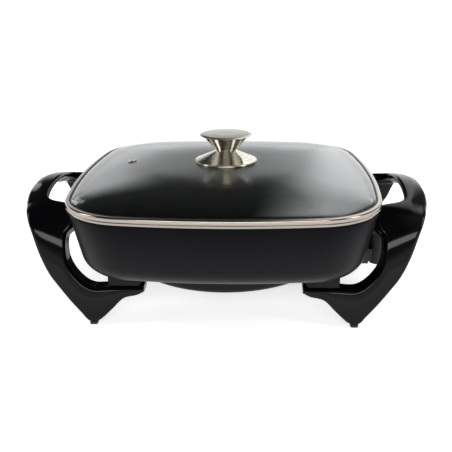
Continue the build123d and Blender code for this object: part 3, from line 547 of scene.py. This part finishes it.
def capped(rows):
    """Rows whose first and last ring are each closed to a point in their own middle."""
    return np.concatenate([toward_middle(rows[0], [0]), rows, toward_middle(rows[-1], [0])])


def lathe(profile, count=96):
    """Turns a profile of (radius, height) round the upright axis: (r cos a, r sin a, z)."""
    a = np.linspace(0, 2 * math.pi, count, endpoint=False)
    return levelled(profile[:, :1, None] * np.stack([np.cos(a), np.sin(a)], axis=1), profile[:, 1])


print("rim half width:", round(rim_half, 2), "corner arcs centred at", round(corner_centre, 2))

# %% [markdown]
# ## The pan
# The vessel is one casting: a drafted wall with a wide round at its foot, a flat flange that carries
# the lid and a low upstand that keeps the lid in place. A designer would draw half its section and
# turn it; here the section is carried round the bowed square, from the middle of the inner floor over
# the edge to the middle of the underside.

# %% Pan shell
seat_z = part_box("lid_rim")[0].z / mm
flange_inset = 1.5
flange_thickness = 3.5
flange_bottom_z = seat_z - flange_thickness
upstand_inset = 5.2
upstand_height = 1.8
wall_inset = 2.5
wall_height = 62.9
wall_draft = 13.5
wall_thickness = 4.0
floor_thickness = 5.0
foot_round = 24.0
lip_round = 0.5
flange_top_round = 1.0
flange_low_round = 0.6
under_flange_round = 0.4
flat_floor_inset = 70.0
pan_bottom_z = flange_bottom_z - wall_height
floor_shares = np.linspace(1, 0, 14)

inner_inset = wall_inset + wall_thickness
foot_inset = wall_inset + wall_draft
pan_profile = rounded(
    [(flat_floor_inset, pan_bottom_z + floor_thickness),
     (foot_inset + wall_thickness, pan_bottom_z + floor_thickness),
     (inner_inset, seat_z + upstand_height),
     (upstand_inset, seat_z + upstand_height),
     (upstand_inset, seat_z),
     (flange_inset, seat_z),
     (flange_inset, flange_bottom_z),
     (wall_inset, flange_bottom_z),
     (foot_inset, pan_bottom_z),
     (flat_floor_inset, pan_bottom_z)],
    [foot_round - wall_thickness, lip_round, lip_round, lip_round, flange_top_round, flange_low_round,
     under_flange_round, foot_round], steps=14)
pan_rows = ring_of(pan_profile)
pan_grid = np.concatenate([toward_middle(pan_rows[0], floor_shares[::-1])[:-1], pan_rows,
                           toward_middle(pan_rows[-1], floor_shares)[1:]])
piece("vessel_shell", [(pan_grid, False, True)], coating, "base", ["pan"])

# %% [markdown]
# ## Under the pan
# A heater ring is cast onto the underside, with a boss for the terminals on the right, and four lugs
# take the screws of the handles. All are plain castings with rounded edges, so a ring is turned from
# its section and a block is a rounded rectangle carried up a short profile.


# %% Blocks with rounded edges
def block_rings(low, high, corner, edge, steps=5):
    """Rounded-rectangle rings c + (r - inset)(cos a, sin a) carried up a profile that is rounded by edge at
    the bottom and the top. Returns them with their levels and the ways (cos a, sin a) of a ring's points."""
    low, high = np.asarray(low, float), np.asarray(high, float)
    middle, half = (low + high)[:2] / 2, (high - low)[:2] / 2
    a = np.linspace(0, math.pi / 2, steps)[None, :] + np.arange(4)[:, None] * math.pi / 2
    way = np.stack([np.cos(a), np.sin(a)], axis=-1).reshape(-1, 2)
    side = np.repeat([[1, 1], [-1, 1], [-1, -1], [1, -1]], steps, axis=0)
    profile = rounded([(corner, low[2]), (0, low[2]), (0, high[2]), (corner, high[2])], [edge, edge], steps)
    rings = middle + (half - corner) * side + (corner - profile[:, 0, None, None]) * way
    return rings, profile[:, 1], way


def soft_block(low, high, corner, edge):
    """A closed block between two corners: rounded-rectangle rings, closed to a point at both ends."""
    rings, levels, _ = block_rings(low, high, corner, edge)
    return capped(levelled(rings, levels)), False, True


def bored_block(low, high, corner, edge, bore):
    """A block along x with a blind bore (y, z, radius, depth) in its outer face: its rings run outward,
    shrink to the bore's circle in the face and run back in along it. They are made with x upright, then
    turned."""
    rings, levels, way = block_rings(np.roll(low, -1), np.roll(high, -1), corner, edge)
    circle = np.array(bore[:2]) + bore[2] * way
    rings = np.concatenate([rings, [circle, circle]])
    levels = np.append(levels, [high[0], high[0] - bore[3]])
    return capped(np.roll(levelled(rings, levels), 1, axis=2)), False, True


print("points of a unit block:", soft_block((0, 0, 0), (1, 1, 1), 0.2, 0.1)[0].shape[:2])

# %% Heater ring and terminal boss
heater_radius = 98.0
heater_width = 26.0
heater_drop = 20.5
heater_round = 6.0
boss_inner_x = 84.0
boss_outer_x = 128.0
boss_half_width = 30.0
boss_bottom_z = 39.0
boss_corner = 4.0
boss_edge = 1.5
probe_bore = (0.0, 49.5, 3.3, 40.2)
cast_in = 3.0

ring_inner, ring_outer = heater_radius - heater_width / 2, heater_radius + heater_width / 2
ring_profile = rounded_loop(
    [(ring_inner, pan_bottom_z + cast_in), (ring_inner, pan_bottom_z - heater_drop),
     (ring_outer, pan_bottom_z - heater_drop), (ring_outer, pan_bottom_z + cast_in)],
    [lip_round, heater_round, heater_round, lip_round])
boss = bored_block((boss_inner_x, -boss_half_width, boss_bottom_z),
                   (boss_outer_x, boss_half_width, pan_bottom_z + cast_in),
                   boss_corner, boss_edge, probe_bore)
piece("heater_ring_casting", [(lathe(ring_profile, count=128), True, True), boss], coating, "base", ["pan"])

# %% Handle lugs
lug_x = (84.0, 118.0)
lug_middle_y = 86.4
lug_half_width = 8.5
lug_bottom_z = 40.0
lug_top_z = pan_bottom_z + 2 * cast_in
lug_corner = 3.0
lug_edge = 1.0

lugs = []
for to_right, to_back in ((-1, -1), (-1, 1), (1, -1), (1, 1)):
    low_x, high_x = sorted(to_right * x for x in lug_x)
    middle_y = to_back * lug_middle_y
    lugs.append(soft_block((low_x, middle_y - lug_half_width, lug_bottom_z),
                           (high_x, middle_y + lug_half_width, lug_top_z), lug_corner, lug_edge))
piece("handle_lugs", lugs, coating, "base", ["pan"])

# %% [markdown]
# ## The handles
# Each handle is one moulding: a flat blank with the outline of a loop, bent over an arch so that its
# two ends become the front and the back leg. That is also how the surface is made. An outline in the
# blank gives an inner and an outer edge, station by station; a rounded section is stretched between
# them; then the whole blank is laid over the arch, whose curve is given by its slope alone.

# %% The arch
leg_slope_deg = 79.24
knee_slope_deg = 59.9
shoulder_slope_deg = 20.0
knee_radius = 40.0
shoulder_radius = 28.0
crown_radius = 160.0
leg_thickness = 20.0
grip_thickness = 12.0
leg_foot_y = -94.0
crest_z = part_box("handle_right")[1].z / mm - grip_thickness / 2

slopes = np.radians([leg_slope_deg, knee_slope_deg, shoulder_slope_deg, 0])
bends = np.array([knee_radius, shoulder_radius, crown_radius])
bend_lengths = bends * -np.diff(slopes)
bend_span = np.array([(bends * (np.sin(slopes[:-1]) - np.sin(slopes[1:]))).sum(),
                      (bends * (np.cos(slopes[1:]) - np.cos(slopes[:-1]))).sum()])
straight_ways = np.array([[math.cos(s), math.sin(s)] for s in slopes[:2]]).T
straights = np.linalg.solve(straight_ways, np.array([-leg_foot_y, crest_z]) - bend_span)
arch_lengths = np.cumsum([0, straights[0], bend_lengths[0], straights[1], bend_lengths[1], bend_lengths[2]])
arch_slopes = slopes[[0, 0, 1, 1, 2, 3]]
crest_h = arch_lengths[-1]

fine_count = 2000
fine_h = np.linspace(0, crest_h, fine_count)
fine_slope = np.interp(fine_h, arch_lengths, arch_slopes)
step_h = fine_h[1]
middle_slope = (fine_slope[1:] + fine_slope[:-1]) / 2
arch_y = leg_foot_y + np.append(0, np.cumsum(np.cos(middle_slope) * step_h))
arch_z = np.append(0, np.cumsum(np.sin(middle_slope) * step_h))
print("arch: straights", straights.round(1), "mm, foot to crest", round(crest_h, 1), "mm")


# %% Laying the blank over the arch
knee_skew = 0.4
knee_middle_x = 175.0
skew_start_h = (30.0, 50.0)
skew_end_h = (92.0, 122.0)
upright_end_h = (60.0, 100.0)
tiny = 1e-9


def laid_over_arch(x, h, depth):
    """Blank point (x, h) at a depth off its middle: the arch's point at h plus depth along the face's
    outward way, which is level on the legs, so that the feet stay flat, and square to the arch above.
    The knee runs slantwise: it is bent higher toward the outer edge, by the skew times x off its middle."""
    side = np.sign(crest_h - h + tiny)
    h = crest_h - np.abs(crest_h - h)
    slope = np.interp(h, fine_h, fine_slope)
    upright = 1 - smooth_step(h, *upright_end_h)
    out_y = -(upright + (1 - upright) * np.sin(slope))
    out_z = (1 - upright) * np.cos(slope)
    skew = knee_skew * smooth_step(h, *skew_start_h) * (1 - smooth_step(h, *skew_end_h))
    late = skew * (x - knee_middle_x)
    bent_h = h - late
    y = np.interp(bent_h, fine_h, arch_y) + late * math.cos(slopes[0])
    z = np.interp(bent_h, fine_h, arch_z) + late * math.sin(slopes[0])
    y = y + np.where(h < 0, h / math.tan(slopes[0]), 0) + depth * out_y
    z = z + np.where(h < 0, h, 0) + depth * out_z
    return np.stack([x, y * side, z], axis=-1)


def through(stations, steps):
    """A smooth path through stations: each span is the cubic whose ends head along the chord of its
    neighbours, 0.5 (2b + (c-a) t + (2a-5b+4c-d) t^2 + (3b-a-3c+d) t^3)."""
    p = np.vstack([2 * stations[:1] - stations[1:2], stations, 2 * stations[-1:] - stations[-2:-1]])[:, None]
    a, b, c, d = p[:-3], p[1:-2], p[2:-1], p[3:]
    t = np.linspace(0, 1, steps, endpoint=False)[None, :, None]
    square, cube = 2 * a - 5 * b + 4 * c - d, 3 * b - a - 3 * c + d
    path = 0.5 * (2 * b + (c - a) * t + square * t ** 2 + cube * t ** 3)
    return np.vstack([path.reshape(-1, stations.shape[1]), stations[-1:]])


crest_point = laid_over_arch(np.array(0.0), np.array(crest_h), np.array(0.0))
print("crest of the arch in mm:", crest_point.round(1).tolist())

# %% [markdown]
# The stations below run from the bracket under the pan, round the pointed foot, up the leg, over the
# shoulder that reaches in to the vessel and along the grip to its crest. Each names one point on the
# loop's inner edge and the point across from it on the outer edge, as (x, h) in the blank. The back
# half mirrors the front, with a slightly slimmer leg, as seen through the finger gaps.

# %% Handle outline
handle_stations = np.array([
    # inner x, h    outer x, h
    (80.5, 41.3, 80.5, 35.0),
    (90.0, 41.0, 88.5, 31.0),
    (104.0, 40.4, 102.0, 27.5),
    (116.0, 39.6, 113.0, 17.0),
    (126.0, 38.7, 122.5, 8.0),
    (133.0, 38.8, 129.0, 3.6),
    (140.0, 41.2, 138.0, 3.6),
    (147.5, 47.0, 145.5, 11.5),
    (154.5, 55.5, 156.0, 23.3),
    (158.8, 64.5, 167.2, 37.2),
    (160.6, 74.0, 178.0, 52.0),
    (161.0, 84.0, 186.8, 70.0),
    (160.0, 91.5, 193.5, 87.0),
    (155.5, 96.5, 198.0, 98.0),
    (152.0, 102.0, 201.3, 106.5),
    (151.5, 110.0, 204.0, 113.5),
    (153.0, 117.5, 206.3, 120.5),
    (159.5, 121.3, 208.2, 127.0),
    (169.0, 122.6, 209.6, 134.0),
    (177.5, 125.3, 210.6, 141.0),
    (183.8, 131.0, 211.2, 148.0),
    (186.2, 140.0, 211.3, 155.0),
    (187.0, 156.0, 210.8, 165.0),
    (187.0, crest_h, 210.3, crest_h)])
back_slimming = 4.0
slim_start_h = (5.0, 95.0)
slim_end_h = (100.0, 165.0)
span_steps = 8

far_side = handle_stations[-2::-1] * [1, -1, 1, -1] + [0, 2 * crest_h, 0, 2 * crest_h]
back_h = 2 * crest_h - far_side[:, 3]
far_side[:, 2] -= back_slimming * smooth_step(back_h, *slim_start_h) * (1 - smooth_step(back_h, *slim_end_h))
handle_path = through(np.vstack([handle_stations, far_side]), span_steps)
print("handle stations:", len(handle_path))

# %% [markdown]
# The section is a rounded bar on the legs that thins to a strap over the grip. Its faces are slightly
# crowned, as on a moulding that has to leave its mould, and a crease runs over the grip: outside it the
# strap falls away to the outer side, which leaves its level face widest at the crest.

# %% Handle section and mesh
section_corner = 3.2
corner_share = 0.45
face_crown = 0.8
thinning_h = (60.0, 120.0)
shoulder_thickness = 8.5
grip_inner_thickness = 4.5
grip_outer_thickness = 7.5
shoulder_h = (88.0, 116.0)
blade_h = (112.0, 140.0)
crease_slope = math.tan(math.radians(16))
crease_h = (124.0, 144.0, 158.0, 170.0, 180.0)
crease_x = (189.5, 195.0, 198.5, 201.0, 202.0)
crease_fade_h = (104.0, 128.0)
crease_softness = 0.7
face_steps, side_steps, corner_steps = 22, 6, 6
on_face = 0.99


def section_terms():
    """For every point of a rounded bar's section: the share of the straight run (-1 to 1) along its width
    and its thickness, and the (cos, sin) of the corner arc that it stands on."""
    face = np.linspace(-1, 1, face_steps + 2)[1:-1]
    side = np.linspace(1, -1, side_steps + 2)[1:-1]
    arc = np.linspace(math.pi / 2, 0, corner_steps)
    one, run = np.ones_like(arc), np.ones_like(face)
    quarter = np.stack([one, one, np.cos(arc), np.sin(arc)], axis=1)
    top = np.stack([face, run, 0 * face, run], axis=1)
    right = np.stack([np.ones_like(side), side, np.ones_like(side), 0 * side], axis=1)
    half = np.vstack([top, quarter, right, quarter[::-1] * [1, -1, 1, -1]])
    return np.vstack([half, -half])


def handle_grid(mirror):
    """The bar's section at each station: its width runs from the inner to the outer edge, and its
    thickness down from the ceiling, the arch's outer face, which is lowered past the crease."""
    inner, outer = handle_path[:, None, :2], handle_path[:, None, 2:]
    run_w, run_b, cos, sin = section_terms().T
    width = np.linalg.norm(outer - inner, axis=2)
    corner = np.minimum(section_corner, corner_share * width)
    share = ((width / 2 - corner) * run_w + corner * cos) / width + 0.5
    x = inner[..., 0] * (1 - share) + outer[..., 0] * share
    h = inner[..., 1] * (1 - share) + outer[..., 1] * share
    up_h = crest_h - np.abs(crest_h - h)
    ceiling = (leg_thickness + (grip_thickness - leg_thickness) * smooth_step(up_h, *thinning_h)) / 2
    thick = leg_thickness + (shoulder_thickness - leg_thickness) * smooth_step(up_h, *shoulder_h)
    grip_thick = grip_inner_thickness + (grip_outer_thickness - grip_inner_thickness) * share
    thick = thick + (grip_thick - shoulder_thickness) * smooth_step(up_h, *blade_h)
    past = crease_softness * np.logaddexp(0, (x - np.interp(up_h, crease_h, crease_x)) / crease_softness)
    fall = smooth_step(up_h, *crease_fade_h) * crease_slope * past
    corner = np.minimum(corner, corner_share * thick)
    depth = ceiling - fall - thick / 2 + (thick / 2 - corner) * run_b + corner * sin
    depth = depth + face_crown * (1 - (2 * share - 1) ** 2) * np.sign(sin) * (np.abs(sin) > on_face)
    return capped(laid_over_arch(x, h, depth)) * [mirror, 1, 1], False, True


for side_name, mirror in (("left", -1), ("right", 1)):
    piece(side_name + "_loop", [handle_grid(mirror)], phenolic, "base", ["handle_" + side_name],
          crisp_deg=50)

# %% [markdown]
# ## The lid glass
# The glass is a shallow dome with a nearly flat top and steep sides, pressed from one sheet. Rings of
# the bowed square shrink toward the middle while the height follows a power curve, outside and again
# one glass thickness lower inside, so the shell is a closed solid that bends light as real glass does.

# %% Lid glass
glass_below_rim = 0.95
glass_top_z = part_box("lid_rim")[1].z / mm - glass_below_rim
glass_thickness = 4.0
dome_inset = 5.5
dome_rise = 15.0
dome_power = 3
dome_root = 0.65
flat_share = 0.25
flat_softness = 0.03
circle_shares = (0.05, 0.5)
glass_edge_inset = 1.8
glass_edge_round = 1.5
screw_hole_radius = 4.0
ring_count = 56
edge_crowding = 2.6
dome_half = rim_half - dome_inset


def dome_rings(base_z, extra_inset, shares):
    """Rings of share s of the bowed square at height base + rise (1 - s^3)^0.65, which levels off softly
    into a flat top; near the middle they turn into circles, which leaves a round hole for the screw."""
    plan = bowed_square(dome_inset + extra_inset)
    angle = np.arctan2(plan[:, 1], plan[:, 0])
    circle = (dome_half - extra_inset) * np.stack([np.cos(angle), np.sin(angle)], axis=1)
    square = smooth_step(shares, *circle_shares)[:, None, None]
    rows = shares[:, None, None] * (square * plan + (1 - square) * circle)
    past_flat = flat_softness * np.logaddexp(0, (shares - flat_share) / flat_softness)
    slope_shares = np.minimum(flat_share + past_flat, 1)
    heights = base_z + dome_rise * (1 - slope_shares ** dome_power) ** dome_root
    return levelled(rows, heights)


hole_share = screw_hole_radius / dome_half
ring_shares = hole_share + (1 - hole_share) * (1 - np.linspace(1, 0, ring_count) ** edge_crowding)
glass_edge = ring_of(rounded(
    [(dome_inset, glass_top_z), (glass_edge_inset, glass_top_z),
     (glass_edge_inset, glass_top_z - glass_thickness),
     (dome_inset + glass_thickness, glass_top_z - glass_thickness)], [glass_edge_round] * 2))
glass_grid = np.concatenate([dome_rings(glass_top_z, 0, ring_shares), glass_edge,
                             dome_rings(glass_top_z - glass_thickness, glass_thickness, ring_shares)[::-1]])
piece("lid_dome", [(glass_grid, True, True)], tempered, "lid", ["lid_glass"])

# %% [markdown]
# ## The steel rim
# The strip is rolled to a channel that grips the edge of the glass. From outside it shows two soft
# beads with a shallow waist between, which is why the rim reads as a bright line over a darker one.

# %% Lid rim
rim_rest_gap = 0.05
rim_bottom_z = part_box("lid_rim")[0].z / mm + rim_rest_gap
rim_top_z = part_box("lid_rim")[1].z / mm
rim_width = 4.5
foot_inset_of_rim = 0.6
low_bead_z, waist_z, high_bead_z = (rim_bottom_z + height for height in (2.2, 3.6, 4.6))
waist_depth = 0.5
shoulder_inset = 0.3
groove_gap = 0.15
groove_inset = glass_edge_inset - groove_gap
groove_low_z = glass_top_z - glass_thickness - groove_gap
groove_high_z = glass_top_z + groove_gap
outer_rounds = [1.0, 1.2, 0.8, 1.0, 1.6]
lip_rounds = [0.35, 0.35]
strip_round = 0.4

rim_profile = rounded_loop(
    [(rim_width, rim_bottom_z), (foot_inset_of_rim, rim_bottom_z), (0.0, low_bead_z), (waist_depth, waist_z),
     (0.0, high_bead_z), (shoulder_inset, rim_top_z), (rim_width, rim_top_z), (rim_width, groove_high_z),
     (groove_inset, groove_high_z), (groove_inset, groove_low_z), (rim_width, groove_low_z)],
    [strip_round, *outer_rounds, *lip_rounds, strip_round, strip_round, strip_round])
piece("steel_rim", [(ring_of(rim_profile), True, True)], strip, "lid", ["lid_rim"])

# %% [markdown]
# A narrow black band lies in the gap between the strip and the glass, and shows as a black line
# along the inner edge of the steel.

# %% Band in the rim's gap
band_outer, band_inner = rim_width - 0.6, rim_width + 2.2
band_low_z, band_high_z = glass_top_z - 0.5, glass_top_z + 0.9
band_rounds = [0.1, 0.4, 0.4, 0.1]
band_profile = rounded_loop([(band_outer, band_low_z), (band_outer, band_high_z), (band_inner, band_high_z),
                             (band_inner, band_low_z)], band_rounds)
piece("rim_gap_band", [(ring_of(band_profile), True, True)], silicone, "lid")

# %% [markdown]
# ## The knob
# The knob is two turned pieces: a cone whose edge is rolled over stands on the glass, and on its neck
# sits an upturned cone under a thin disc. Both are lathe shapes, so half a section says everything.

# %% Knob foot
base_low, base_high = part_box("knob_base")
base_z, neck_z = base_low.z / mm, base_high.z / mm
base_radius = base_high.x / mm
neck_radius = 10.2
plate_thickness = 1.8
roll_width = 2.2
roll_high_z, roll_low_z = base_z + 1.6, base_z + 0.9
lip_width = 1.6
hollow_radius, hollow_z = base_radius - 3.0, base_z + 0.6
hollow_neck_radius = neck_radius - 1.5
foot_gap = 0.15
foot_rounds = [0.6, 2.0, 0.9, 0.4, 0.4, 0.8, 1.0]
turned_steps = 8
glass_flat_z = glass_top_z + dome_rise * (1 - flat_share ** dome_power) ** dome_root
lip_z = glass_flat_z + foot_gap

foot_profile = rounded(
    [(0, neck_z), (neck_radius, neck_z), (base_radius - roll_width, roll_high_z), (base_radius, roll_low_z),
     (base_radius, lip_z), (base_radius - lip_width, lip_z), (hollow_radius, hollow_z),
     (hollow_neck_radius, neck_z - plate_thickness), (0, neck_z - plate_thickness)],
    foot_rounds, turned_steps)
piece("knob_foot", [(lathe(foot_profile), False, True)], turned, "lid", ["knob_base"],
      crisp_deg=50)

# %% Knob grip
knob_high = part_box("knob_top")[1]
top_z = knob_high.z / mm
disc_radius = knob_high.x / mm
disc_lip = 0.7
disc_edge_z = top_z - 2.6
disc_taper = 0.9
disc_low_z, disc_high_z = disc_edge_z + 1.0, disc_edge_z + 1.5
crown_fall = 0.2
crown_shares = (0.9, 0.45)
cone_gap = 0.05
cone_foot_radius = 10.5
cone_radius = 24.6
cone_top_z = disc_edge_z + 0.2
grip_rounds = [0.3, 0.6, 0.5, 0.25, 4.0, 12.0]

grip_profile = rounded(
    [(0, neck_z + cone_gap), (cone_foot_radius, neck_z + cone_gap), (cone_radius, cone_top_z),
     (disc_radius + disc_lip - disc_taper, disc_low_z), (disc_radius + disc_lip, disc_high_z),
     (disc_radius * crown_shares[0], top_z - crown_fall), (disc_radius * crown_shares[1], top_z),
     (0, top_z)], grip_rounds, turned_steps)
piece("knob_grip", [(lathe(grip_profile), False, True)], turned, "lid", ["knob_top"],
      crisp_deg=50)

# %% [markdown]
# ## Rubber feet
# Each leg ends in a small pad that keeps the plastic off the table.

# %% Foot pads
pad_height = 3.4
pad_corner = 2.0
pad_edge = 0.8
for place in ("front_left", "front_right", "back_left", "back_right"):
    low, high = (np.array(v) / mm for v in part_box("foot_pad_" + place))
    high[2] = low[2] + pad_height
    piece("pad_" + place, [soft_block(low, high, pad_corner, pad_edge)], rubber, "base",
          ["foot_pad_" + place])

# %% [markdown]
# ## The dial
# The dial is a turned shape whose grip is fluted: the radius dips at even steps round the axis, on the
# rows of the grip alone. Its scale is pad-printed on the skirt, as ticks that grow toward the hot end,
# and a printed arrow on the housing is the mark that they are read against.

# %% Dial
dial_low, dial_high = (np.array(v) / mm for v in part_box("dial"))
dial_axis = (dial_low + dial_high)[:2] / 2
dial_z, dial_top_z = dial_low[2], dial_high[2]
skirt_radius = (dial_high - dial_low)[0] / 2
grip_radius = 15.0
skirt_z = dial_z + 3.0
skirt_bevel_width, skirt_bevel_height = 1.2, 1.0
foot_flare = 0.6
foot_low_z, foot_high_z = skirt_z + 0.1, skirt_z + 1.0
grip_taper = 0.5
face_radius = grip_radius - 4.0
dish_radius, dish_z = face_radius - 1.0, dial_top_z - 0.8
dial_rounds = [0.4, 0.6, 0.5, 0.4, 0.6, 1.4, 0.6, 0.6]
flute_count = 18
points_per_flute = 12
flute_depth_share = 0.075
flute_rise = (0.2, 1.6)
flute_reach = (-3.0, -0.8)

dial_profile = rounded(
    [(0, dial_z), (skirt_radius, dial_z), (skirt_radius, skirt_z - skirt_bevel_height),
     (skirt_radius - skirt_bevel_width, skirt_z), (grip_radius + foot_flare, foot_low_z),
     (grip_radius, foot_high_z), (grip_radius - grip_taper, dial_top_z), (face_radius, dial_top_z),
     (dish_radius, dish_z), (0, dish_z)], dial_rounds)


def fluted(profile):
    """Turned rows whose radius is r (1 - share f(z) (1/2 + 1/2 cos n a)^2): f is 0 on the skirt and the
    face, 1 on the grip, so n hollows run up its side."""
    rows = lathe(profile, count=flute_count * points_per_flute)
    a = np.linspace(0, 2 * math.pi, rows.shape[1], endpoint=False)
    on_grip = (smooth_step(profile[:, 1] - skirt_z, *flute_rise)
               * smooth_step(profile[:, 0] - grip_radius, *flute_reach))
    dip = 1 - flute_depth_share * on_grip[:, None] * (0.5 + 0.5 * np.cos(flute_count * a)) ** 2
    return np.dstack([rows[..., :2] * dip[..., None] + dial_axis, rows[..., 2]])


piece("fluted_dial", [(fluted(dial_profile), False, True)], dial_gloss, "dial", ["dial"],
      crisp_deg=40)

# %% Printed scale
print_thickness = 0.12
print_sunk = 0.05
print_edge = 0.05
to_front_deg = -90.0
tick_count = 7
tick_step_deg = 45.0
tick_reach = (grip_radius + 0.9, skirt_radius - 1.4)
tick_half, tick_growth = 0.25, 0.06
tick_corner = 0.2
pointer_reach = (grip_radius - 3.6, grip_radius - 1.0)
pointer_half = 0.5
pointer_corner = 0.3


def turned_round(grid, angle_deg):
    """A closed grid made along +x, turned about the dial's axis: (x cos a - y sin a, x sin a + y cos a)."""
    points, close_rows, close_columns = grid
    cos, sin = math.cos(math.radians(angle_deg)), math.sin(math.radians(angle_deg))
    turn = np.array([[cos, sin, 0], [-sin, cos, 0], [0, 0, 1]])
    return points @ turn + [*dial_axis, 0], close_rows, close_columns


def printed_bar(reach, half, z, corner, angle_deg):
    """A thin bar of ink on the level z, as long as reach and twice half wide, turned to its angle."""
    bar = soft_block((reach[0], -half, z - print_sunk), (reach[1], half, z + print_thickness),
                     corner, print_edge)
    return turned_round(bar, angle_deg)


ticks = [printed_bar(tick_reach, tick_half + tick_growth * k, skirt_z, tick_corner,
                     to_front_deg + k * tick_step_deg) for k in range(tick_count)]
pointer = printed_bar(pointer_reach, pointer_half, dial_top_z, pointer_corner, to_front_deg)
piece("dial_scale", [*ticks, pointer], ink, "dial")

# %% Printed arrow
arrow_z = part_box("control_upper_shell")[1].z / mm
arrow_half = 1.4
arrow_reach = (skirt_radius + 1.2, skirt_radius + 4.4)
arrow_plan = np.array([(arrow_reach[0], 0), (arrow_reach[1], arrow_half), (arrow_reach[1], -arrow_half)])
arrow_rows = capped(levelled(np.array([arrow_plan] * 2), (arrow_z, arrow_z + print_thickness)))
piece("dial_arrow", [turned_round((arrow_rows, False, True), to_front_deg)], ink, "control")

# %% [markdown]
# ## The pieces that keep their CAD shape
# Screws, pins, sockets and the other inner parts are small and already have their true form, so they
# only get the finish of their material.

# %% Finishes of the CAD nodes
cad_finishes = [
    (drawn_steel, ["heating_element", "probe_rod", "dial_spindle"]),
    (nickel_pin, ["terminal_pin_front", "terminal_pin_back"]),
    (steatite, ["terminal_insulator_front", "terminal_insulator_back", "switch_block"]),
    (brass, ["contact_sleeve_front", "contact_sleeve_back", "switch_blade"]),
    (zinc_steel, ["inlet_screws", "handle_screws_left", "handle_screws_right", "knob_screw",
                  "control_screws"]),
    (matt_phenolic, ["inlet_shroud"]),
    (spark_grain, ["control_upper_shell", "control_lower_shell"]),
    (turned, ["vent_eyelet"]),
    (silicone, ["knob_washer", "knob_inner_washer"]),
    (rubber, ["cord_gland"]),
    (amber, ["pilot_lens"]),
    (lamp_glass, ["pilot_lamp"])]
for finish, node_names in cad_finishes:
    for node_name in node_names:
        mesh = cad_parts[node_name].data
        mesh.materials.clear()
        mesh.materials.append(finish)
print("CAD nodes finished:", sum(len(node_names) for _, node_names in cad_finishes))
